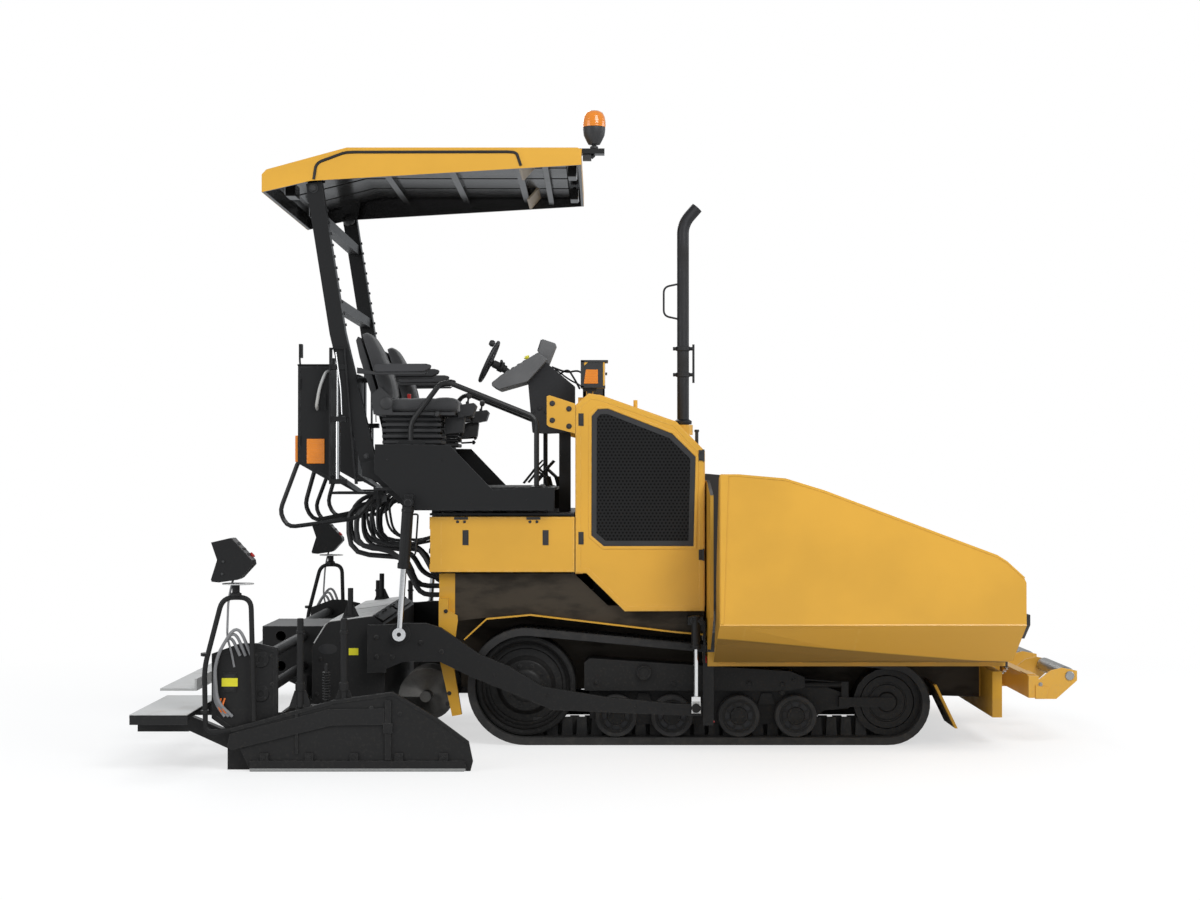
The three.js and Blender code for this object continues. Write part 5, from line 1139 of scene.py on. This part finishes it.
# ---------------------------------------------------------------- arms, cylinders, posts of the chassis
for tag, side in SIDES.items():
    arm = Piece(side)
    out = 0.975
    for x, z in ((-1.18, 0.52), (-1.18, 0.63), (-1.27, 0.52), (-1.27, 0.63), (-1.02, 0.6), (-0.9, 0.55)):
        arm.bolt((x, out, z), OUT, 0.011)
    arm.turned([(0.02, 0), (0.02, 0.005), (0.06, 0.005), (0.06, 0.0)], (-1.137, out, 0.65), OUT, 36)
    arm.turned(button(0.022, 0.026, 0.008, 0.012), (0.545, out + 0.012, 0.23), OUT, 28)
    for x, z in ((0.36, 0.222), (0.2, 0.236), (-0.3, 0.3), (-0.6, 0.415)):
        arm.bolt((x, out, z), OUT, 0.007, False)
    arm.done("arm_bolts_" + tag, screed_paint, "screed", "charcoal_paint", bevel=0.0008)
    body = "lift_barrel_" + BODY[tag]
    skin = Piece(side)

    def at(z):
        """On the lift cylinder's axis, between its two pins."""
        return point(-1.087 - 0.05 * (1.395 - z) / 0.745, 1.006 * side, z)

    along = (at(0.65) - at(1.395)).normalized()
    skin.turned(collar(0.0335, 0.0375, 0.004, 0.03, 0.034), at(1.055), along, 32)
    skin.turned(collar(0.0335, 0.036, 0.003, 0.016, 0.019), at(1.36), along, 32)
    skin.turned([(0.012, 0), (0.012, 0.004), (0.022, 0.006), (0, 0.01)], at(1.395) + Vector((0, 0.02 * side, 0)), OUT,
                24)
    skin.tube([at(1.33) + Vector((0.033, 0, 0)), at(1.33) + Vector((0.06, 0, 0.0)), at(1.1) + Vector((0.06, 0, 0)),
               at(1.1) + Vector((0.033, 0, 0))], 0.0055, 0.02, 8)
    skin.done("lift_trim_" + tag, charcoal, body, "charcoal_paint", bevel=0.0008)
    tow = Piece(side)
    tow.turned(collar(0.0262, 0.031, 0.003, 0.024, 0.027), (0.545, 0.955, 0.562), UP, 32)
    tow.turned(collar(0.0262, 0.03, 0.003, 0.014, 0.017), (0.545, 0.955, 0.735), UP, 32)
    for x, z in ((0.525, 0.722), (0.565, 0.722)):
        tow.bolt((x, 0.97, z), OUT, 0.01)
    for z in (0.2, 0.3, 0.4, 0.6):
        tow.bolt((0.602, 0.905, z), AHEAD, 0.008)
    tow.done("tow_trim_" + tag, charcoal, "root", "charcoal_paint", bevel=0.0008)
    cap = Piece(side).turned(button(0.01, 0.012, 0.004, 0.006), (-1.137, 1.0285, 0.65), OUT, 32)
    cap.done("lift_eye_" + tag, charcoal, "lift_piston_" + BODY[tag], "charcoal_paint")
    clevis = Piece(side)
    clevis.plate(rect(0.523, 0.2, 0.567, 0.268), 0.9865, 0.9875)
    clevis.turned(button(0.02, 0.022, 0.005, 0.008), (0.545, 0.9865, 0.225), OUT, 28)
    clevis.done("clevis_trim_" + tag, step_grey, "tow_points", "chrome")
    red = Piece(side).block((0.6485, 0.912, 0.14), (0.6535, 0.918, 0.15))
    red.turned([(0, 0.006), (0.022, 0.005), (0.024, 0.0), (0, 0)], (0.6025, 0.915, 0.5), AHEAD, 24)
    red.done("reflector_" + tag, red_lens, "root", "amber_lens")
    rear = Piece(side)
    for x, z in ((-0.885, 0.77), (-0.865, 0.3), (-0.875, 0.24)):
        rear.bolt((x, 0.8605, z), OUT, 0.009)
    rear.plate([(-0.872, 0.5), (-0.862, 0.502), (-0.852, 0.56), (-0.862, 0.562)], 0.8598, 0.8612)
    rear.done("post_holes_" + tag, stack_black, "root", "black_paint")
    aug = Piece()
    low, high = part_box("auger_" + tag)
    centre = Vector(((low.x + high.x) / 2, 0, (low.z + high.z) / 2))
    inner_y, outer_y = 0.06, 0.772
    turns, steps = 2.5, 90
    vertices = []
    for i in range(steps + 1):
        t = 2 * math.pi * turns * i / steps
        y = inner_y + (outer_y - inner_y - 0.012) * i / steps
        flight = ((0.03, 0.0), (0.157, 0.001), (0.157, 0.011), (0.03, 0.012))
        vertices.append([aug.mesh.verts.new(around(centre, r, (y + dy) * side, t)) for r, dy in flight])
    aug.skin(vertices, ends=True)
    aug.turned([(0, 0.0455), (0.0318, 0.0455), (0.0318, 0.772), (0.026, 0.7721), (0, 0.772)], centre, (0, side, 0),
               32)
    aug.turned([(0.0318, 0.4), (0.052, 0.402), (0.052, 0.43), (0.0318, 0.432)], centre, (0, side, 0), 32)
    aug.done("auger_skin_" + tag, auger_steel, "auger_" + BODY[tag], "worn_steel", replaces=("auger_" + tag,))

# ---------------------------------------------------------------- main screed
cover, cover_pale, patch, slots = Piece(), Piece(), Piece(), Piece()
for side in (1, -1):
    for y0, y1 in ((0.03, 0.44), (0.47, 0.86)):
        cover_pale.plate([(-1.552, 0.709), (-1.305, 0.7415), (-1.305, 0.7475), (-1.554, 0.715)], y0 * side, y1 * side)
        cover_pale.plate([(-1.64, 0.585), (-1.572, 0.694), (-1.577, 0.698), (-1.645, 0.589)], y0 * side, y1 * side)
    cover.plate([(-1.3, 0.741), (-1.245, 0.712), (-1.245, 0.717), (-1.3, 0.746)], 0.05 * side, 0.84 * side)
    oval = [(-1.56 + 0.055 * math.cos(t), 0.555 + 0.03 * math.sin(t)) for t in spread(24)]
    slots.plate(oval, 0.8745 * side, 0.8762 * side)
    for y in (0.1, 0.36, 0.5, 0.78):
        cover.bolt((-1.6, y * side, 0.652), (-0.85, 0, 0.53), 0.008)
        cover.bolt((-1.285, y * side, 0.7395), UP, 0.008)
    for x, z in ((-1.62, 0.05), (-1.5, 0.05), (-1.38, 0.05), (-1.28, 0.07), (-1.6, 0.5), (-1.48, 0.6), (-1.62, 0.3)):
        cover.bolt((x, 0.875 * side, z), (0, side, 0), 0.01)
    patch.plate(rect(-1.44, 0.52, -1.385, 0.56), 0.8745 * side, 0.8765 * side)
    cover.rod((-1.44, 0.8 * side, 0.7), (-1.44, 0.8 * side, 0.9), 0.016, 20)
    cover.turned(collar(0.016, 0.03, 0, 0.025, 0.03), (-1.44, 0.8 * side, 0.715), UP, 24)
    cover.plate([(-1.5, 0.7), (-1.38, 0.716), (-1.42, 0.8), (-1.46, 0.8)], 0.795 * side, 0.805 * side)
for y in (-0.24, -0.08, 0.08, 0.24):
    cover.bolt((-2.0355, y, 0.37), (-1, 0, 0), 0.01)
    cover.bolt((-2.0355, y, 0.61), (-1, 0, 0), 0.01)
cover.done("screed_trim", screed_paint, "screed", "charcoal_paint", bevel=0.0012)
cover_pale.done("screed_covers", step_grey, "screed", "grey_tread", bevel=0.0012)
slots.done("screed_slots", stack_black, "screed", "black_paint")
patch.done("screed_patches", label_yellow, "screed", "yellow_paint")
walk = Piece()
walk.ring([(-2.518, 0.318), (-2.518, 0.3285), (-2.31, 0.3285), (-2.31, 0.318)],
          [(-2.516, 0.32), (-2.516, 0.3265), (-2.314, 0.3265), (-2.314, 0.32)], -0.8795, -0.878)
walk.done("walkway_ribs", step_grey, "screed", "grey_tread", bevel=0.001)

# ---------------------------------------------------------------- extensions and endgates
for tag, side in SIDES.items():
    body = "extension_" + BODY[tag]
    out = 1.75
    end = Piece(side)
    plate = [(-2.045, 0.275), (-1.705, 0.03), (-1.705, 0.635), (-1.811, 0.66), (-1.899, 0.66), (-2.045, 0.606)]
    end.ring(plate, inset(plate, 0.02), out - 0.001, out + 0.004)
    slot = rect(-1.98, 0.42, -1.93, 0.5)
    end.ring(inset(slot, -0.012), slot, out - 0.001, out + 0.004)
    guide = -1.925 if tag == "L" else -1.79
    for z in (0.4, 0.58):
        end.turned([(0.018, 0), (0.018, 0.006), (0.04, 0.006), (0.046, 0.0)], (guide, out, z), OUT, 36)
        for t in spread(4, 0.5):
            end.bolt((guide + 0.032 * math.cos(t), out + 0.005, z + 0.032 * math.sin(t)), OUT, 0.0045, False)
    for x, z in ((-1.73, 0.1), (-1.73, 0.24), (-1.73, 0.45), (-1.73, 0.6), (-2.02, 0.34), (-2.02, 0.57),
                 (-1.86, 0.2)):
        end.bolt((x, out, z), OUT, 0.009)
    end.done("end_plate_trim_" + tag, screed_paint, body, "charcoal_paint", bevel=0.001)
    hole = Piece(side).plate(slot, out - 0.0008, out + 0.0012)
    hole.done("end_plate_slot_" + tag, stack_black, body, "black_paint")
    label = Piece(side).plate(rect(-1.996, 0.438, -1.912, 0.482), out - 0.001, out + 0.005)
    label.done("end_plate_patches_" + tag, label_yellow, body, "yellow_paint")
    tread = Piece(side)
    y0, y1 = 0.995, 1.865
    tread.block((-2.4545, y0 - 0.004, 0.2995), (-2.153, y1 + 0.004, 0.304))
    tread.done("side_walk_" + tag, step_grey, body, "grey_tread", bevel=0.0008)
    edge = Piece(side)
    edge.plate(rect(-2.455, 0.25, -2.152, 0.29), 1.858, 1.869)
    edge.block((-2.455, y0, 0.255), (-2.446, y1, 0.29))
    edge.done("side_walk_edge_" + tag, deck_paint, body, "charcoal_paint", bevel=0.001)

    gate_out = 1.805
    whole = Piece(side)
    whole.plate([(-1.836, 0.0), (-0.68, 0.0), (-0.667, 0.05), (-0.689, 0.155), (-0.858, 0.28), (-1.087, 0.415),
                 (-1.4, 0.372), (-1.938, 0.225)], 1.785, gate_out)
    whole.plate([(-1.836, 0.0), (-0.712, 0.0), (-0.7, 0.012), (-0.706, 0.048), (-0.714, 0.055), (-1.836, 0.055)],
                1.77, 1.82)
    for x in (-1.577, -1.347):
        whole.rod((x, 1.783, 0.33), (x, 1.783, 0.8), 0.017, 28)
    whole.block((-1.6, 1.7503, 0.3), (-1.32, 1.79, 0.345))
    whole.block((-1.83, 1.7503, 0.12), (-1.58, 1.79, 0.25))
    loop_y = 1.79
    whole.tube([(-1.93, loop_y, 0.215), (-2.073, loop_y, 0.195), (-2.08, loop_y, 0.54), (-1.985, loop_y, 0.91),
                (-1.836, loop_y, 0.91), (-1.818, loop_y, 0.26)], 0.0135, 0.06, 16)
    whole.rod((-1.915, loop_y, 0.905), (-1.915, loop_y, 0.985), 0.02, 24)
    side_line = [(-2.04, 1.2), (-1.945, 1.222), (-1.932, 1.221), (-1.826, 1.105), (-1.822, 1.082), (-1.886, 1.012),
                 (-1.9, 1.004), (-1.997, 0.99), (-2.036, 0.994), (-2.04, 1.006), (-2.008, 1.108)]
    whole.plate(side_line, 1.702, 1.828)
    whole.done("endgate_skin_" + tag, screed_paint, body, "charcoal_paint", bevel=0.0025,
               replaces=("endgate_" + tag,))
    disc = Piece(side).turned([(0, 0), (0.082, 0), (0.084, 0.003), (0.082, 0.006), (0, 0.006)],
                              (-1.908, 1.765, 0.977), UP, 48)
    disc.done("box_disc_" + tag, step_grey, body, "grey_tread")
    gate = Piece(side)
    top = [(-1.938, 0.225), (-1.4, 0.372), (-1.087, 0.415), (-0.858, 0.28), (-0.689, 0.155)]
    rim = [(x, z - 0.002) for x, z in top] + [(x + 0.002, z - 0.02) for x, z in reversed(top)]
    gate.plate(rim, gate_out - 0.002, gate_out + 0.004)
    band = [(-1.955, 0.128), (-1.942, 0.196), (-1.42, 0.326), (-1.13, 0.33), (-1.13, 0.244), (-1.41, 0.24),
            (-1.93, 0.112)]
    gate.plate(band, gate_out - 0.001, gate_out + 0.012)
    gate.block((-1.128, gate_out, 0.058), (-1.096, gate_out + 0.014, 0.372))
    gate.block((-1.136, gate_out, 0.2), (-1.088, gate_out + 0.018, 0.252))
    for i in range(5):
        x = -1.76 + 0.235 * i
        gate.block((x - 0.022, gate_out, 0.052), (x + 0.022, gate_out + 0.014, 0.095))
        gate.bolt((x, gate_out + 0.014, 0.074), OUT, 0.01)
    for x, z in ((-1.52, 0.29), (-1.4, 0.3), (-1.2, 0.33), (-1.05, 0.3)):
        gate.bolt((x, gate_out, z), OUT, 0.009)
    gate.block((-1.6, gate_out, 0.09), (-1.585, gate_out + 0.008, 0.3))
    for x in (-1.577, -1.347):
        gate.turned([(0.0172, 0), (0.024, 0), (0.026, 0.004), (0.026, 0.04), (0.0172, 0.048)], (x, 1.783, 0.42), UP,
                    28)
        gate.turned(collar(0.0172, 0.022, 0.002, 0.014, 0.016), (x, 1.783, 0.72), UP, 28)
        gate.plate([(x - 0.06, 0.33), (x + 0.06, 0.33), (x + 0.03, 0.42), (x - 0.03, 0.42)], 1.776, 1.784)
    gate.rod((-1.44, 1.783, 0.345), (-1.44, 1.783, 0.56), 0.01, 16)
    for i in range(11):
        gate.turned(collar(0.01, 0.021, 0.003, 0.007, 0.01), (-1.44, 1.783, 0.37 + 0.014 * i), UP, 20)
    gate.done("gate_trim_" + tag, screed_paint, body, "charcoal_paint", bevel=0.001)
    shoe = Piece(side)
    shoe.plate(rect(-1.836, 0.003, -0.705, 0.016), 1.8195, 1.8215)
    shoe.done("shoe_edge_" + tag, bolt_steel, body, "worn_steel")

    stand, face_piece, knobs = Piece(side), Piece(side), Piece(side)
    y = 1.79
    stand.turned(collar(0.02, 0.03, 0.002, 0.016, 0.022), (-1.915, y, 0.915), UP, 36)
    for z in (0.3, 0.6):
        stand.turned(collar(0.0138, 0.022, 0.002, 0.018, 0.02), (-2.0775, y, z), UP, 24)
    stand.done("stand_trim_" + tag, charcoal, body, "charcoal_paint", bevel=0.001)
    face_piece.plate([(-1.934, 1.2195), (-1.828, 1.1035), (-1.826, 1.106), (-1.932, 1.2225)], 1.714, 1.816)
    face_piece.done("box_face_" + tag, console_grey, body, "black_plastic", bevel=0.001)
    top_way = Vector((0.738, 0, 0.675))
    for row in range(3):
        for col in range(3):
            knobs.turned([(0.008, 0), (0.009, 0.004), (0.007, 0.006), (0, 0.006)],
                         (-1.905 + 0.026 * row, 1.735 + 0.03 * col, 1.1905 - 0.0284 * row), top_way, 14)
    for x, z in ((-1.975, 1.1), (-1.98, 1.035)):
        knobs.bolt((x, 1.8285, z), OUT, 0.008, False)
    knobs.done("box_buttons_" + tag, plastic, body, "black_plastic")
    stop = Piece(side).turned([(0.01, 0), (0.01, 0.006), (0.015, 0.008), (0.015, 0.014), (0, 0.016)],
                              (-1.845, 1.735, 1.125), top_way, 22)
    stop.done("box_stop_" + tag, knob_red, body, "black_plastic")
    cable = Piece(side)
    cable.tube([(-1.93, y, 1.005), (-1.955, y, 0.9), (-1.965, y - 0.02, 0.7), (-1.945, y - 0.035, 0.62),
                (-1.93, 1.752, 0.54)], 0.006, 0.06, 8)
    for i in range(3):
        cable.tube([(-1.9 + 0.03 * i, 1.752, 0.6), (-1.95 + 0.02 * i, 1.765 + 0.008 * i, 0.72 + 0.03 * i),
                    (-2.03, 1.762 + 0.012 * i, 0.58), (-2.035 + 0.01 * i, 1.757 + 0.01 * i, 0.36),
                    (-1.98 + 0.02 * i, 1.752, 0.28)], 0.0085, 0.09, 10)
    cable.done("stand_hoses_" + tag, pale_hose, body, "rubber")
    orange = Piece(side)
    for i in range(2):
        orange.tube([(-2.0 + 0.02 * i, 1.752, 0.375), (-2.012 + 0.02 * i, 1.764 + 0.01 * i, 0.33),
                     (-1.985 + 0.02 * i, 1.752, 0.285)], 0.0055, 0.03, 8)
    orange.done("stand_cables_" + tag, cable_orange, body, "rubber")

# ---------------------------------------------------------------- hoses between tractor and screed
for tag, side in SIDES.items():
    bundle = Piece(side)
    for i, (back, r) in enumerate(((-1.5, 0.014), (-1.42, 0.011))):
        y = 0.3 + 0.06 * i
        bundle.tube([(-1.29, y, 1.47 - 0.018 * i), (back, y + 0.02, 1.38), (back, y + 0.02, 1.13),
                     (-1.14, y + 0.02, 1.1), (-1.06, y, 0.95), (-0.928, y, 0.92 + 0.012 * i)], r, 0.12, 12)
    for i in range(2):
        y = 0.47 + 0.03 * i
        bundle.tube([(-1.292, y, 1.44), (-1.36 - 0.03 * i, y, 1.36), (-1.33 - 0.03 * i, y, 1.18),
                     (-1.2, y + 0.03, 1.12), (-1.0, y + 0.03, 1.16 + 0.02 * i), (-0.928, y + 0.02, 1.18 + 0.02 * i)],
                    0.008, 0.09, 10)
    bundle.done("hose_bundle_" + tag, rubber, "root", "rubber")
    clamps = Piece(side)
    clamps.block((-1.302, 0.27, 1.392), (-1.2905, 0.56, 1.478))
    clamps.block((-0.9285, 0.26, 0.895), (-0.9265, 0.4, 0.96))
    clamps.done("hose_clamps_" + tag, charcoal, "root", "charcoal_paint", bevel=0.001)

# ---------------------------------------------------------------- camera, lamps, floor
CAMERA_DISTANCE, CAMERA_HEIGHT, CAMERA_PITCH = 11.95, 1.57, 90.65
FOCAL_LENGTH, SENSOR_WIDTH, SIGHT = 57.9, 36.0, 200
camera = bpy.data.objects.new("camera", bpy.data.cameras.new("camera"))
bpy.context.scene.collection.objects.link(camera)
camera.location = point(0, -CAMERA_DISTANCE, CAMERA_HEIGHT)
camera.rotation_euler = (math.radians(CAMERA_PITCH), 0, 0)
camera.data.lens, camera.data.sensor_width = FOCAL_LENGTH, SENSOR_WIDTH
camera.data.clip_end = SIGHT
bpy.context.scene.camera = camera
bpy.context.scene.view_settings.view_transform = "Standard"


def lamp(name, at, target, size, power):
    made = bpy.data.objects.new(name, bpy.data.lights.new(name, "AREA"))
    bpy.context.scene.collection.objects.link(made)
    made.data.shape, made.data.size, made.data.energy = "DISK", size, power
    made.location = at
    made.rotation_euler = (Vector(target) - Vector(at)).to_track_quat("-Z", "Y").to_euler()


lamp("key", (3.5, -7.5, 7.5), (0, 0, 1.2), 5.0, 520)
lamp("fill", (-7.0, -5.0, 3.5), (0, 0, 1.0), 5.0, 170)
lamp("rim", (-3.0, 7.0, 6.5), (0, 0, 1.5), 5.0, 300)
lamp("front", (8.0, 1.0, 4.0), (0, 0, 1.0), 4.0, 150)


def wire(tree, kind, values, **settings):
    """A new node, its inputs set or, where the value is a node, linked to that node's first output."""
    made = tree.nodes.new("ShaderNode" + kind)
    for key, value in settings.items():
        setattr(made, key, value)
    for key, value in values.items():
        value = value.outputs[0] if isinstance(value, bpy.types.Node) else value
        if isinstance(value, bpy.types.NodeSocket):
            tree.links.new(value, made.inputs[key])
        else:
            made.inputs[key].default_value = value
    return made


def whiten(tree, ordinary, white, output):
    """White to the eye, also through glass, and an ordinary surface or sky to everything else."""
    rays = wire(tree, "LightPath", {}).outputs
    seen = wire(tree, "Math", {0: rays["Is Camera Ray"], 1: rays["Is Transmission Ray"]}, operation="MAXIMUM")
    wire(tree, output, {0: wire(tree, "MixShader", {0: seen, 1: ordinary, 2: white})})


WHITE = (1, 1, 1, 1)
world = bpy.data.worlds.new("studio")
bpy.context.scene.world = world
world.use_nodes = True
sky = world.node_tree
sky.nodes.clear()
dim = wire(sky, "Background", {"Color": (0.92, 0.96, 1.0, 1), "Strength": 0.55})
whiten(sky, dim, wire(sky, "Background", {"Color": WHITE, "Strength": 1.0}), "OutputWorld")

FLOOR, FLOOR_LEVEL = 60.0, -0.001
FADE_START, FADE_END = 3.0, 6.5
floor_data = bpy.data.meshes.new("floor")
corners = [(x * FLOOR, y * FLOOR, FLOOR_LEVEL) for x, y in ((-1, -1), (1, -1), (1, 1), (-1, 1))]
floor_data.from_pydata(corners, [], [(0, 1, 2, 3)])
floor = bpy.data.objects.new("floor", floor_data)
bpy.context.scene.collection.objects.link(floor)
floor_material = bpy.data.materials.new("studio_floor")
floor_material.use_nodes = True
ground = floor_material.node_tree
ground.nodes.clear()
chalk = wire(ground, "BsdfDiffuse", {"Color": (0.8, 0.8, 0.8, 1)})
glow = wire(ground, "Emission", {"Color": WHITE, "Strength": 0.62})
spot = wire(ground, "TexCoord", {}).outputs["Object"]
far = wire(ground, "VectorMath", {0: spot}, operation="LENGTH").outputs["Value"]
fade = wire(ground, "MapRange", {"From Min": FADE_START, "From Max": FADE_END, "Value": far})
pure = wire(ground, "Emission", {"Color": WHITE, "Strength": 1.0})
near = wire(ground, "AddShader", {0: glow, 1: wire(ground, "BsdfDiffuse", {"Color": (0.36, 0.36, 0.36, 1)})})
whiten(ground, chalk, wire(ground, "MixShader", {0: fade, 1: near, 2: pure}), "OutputMaterial")
floor_data.materials.append(floor_material)
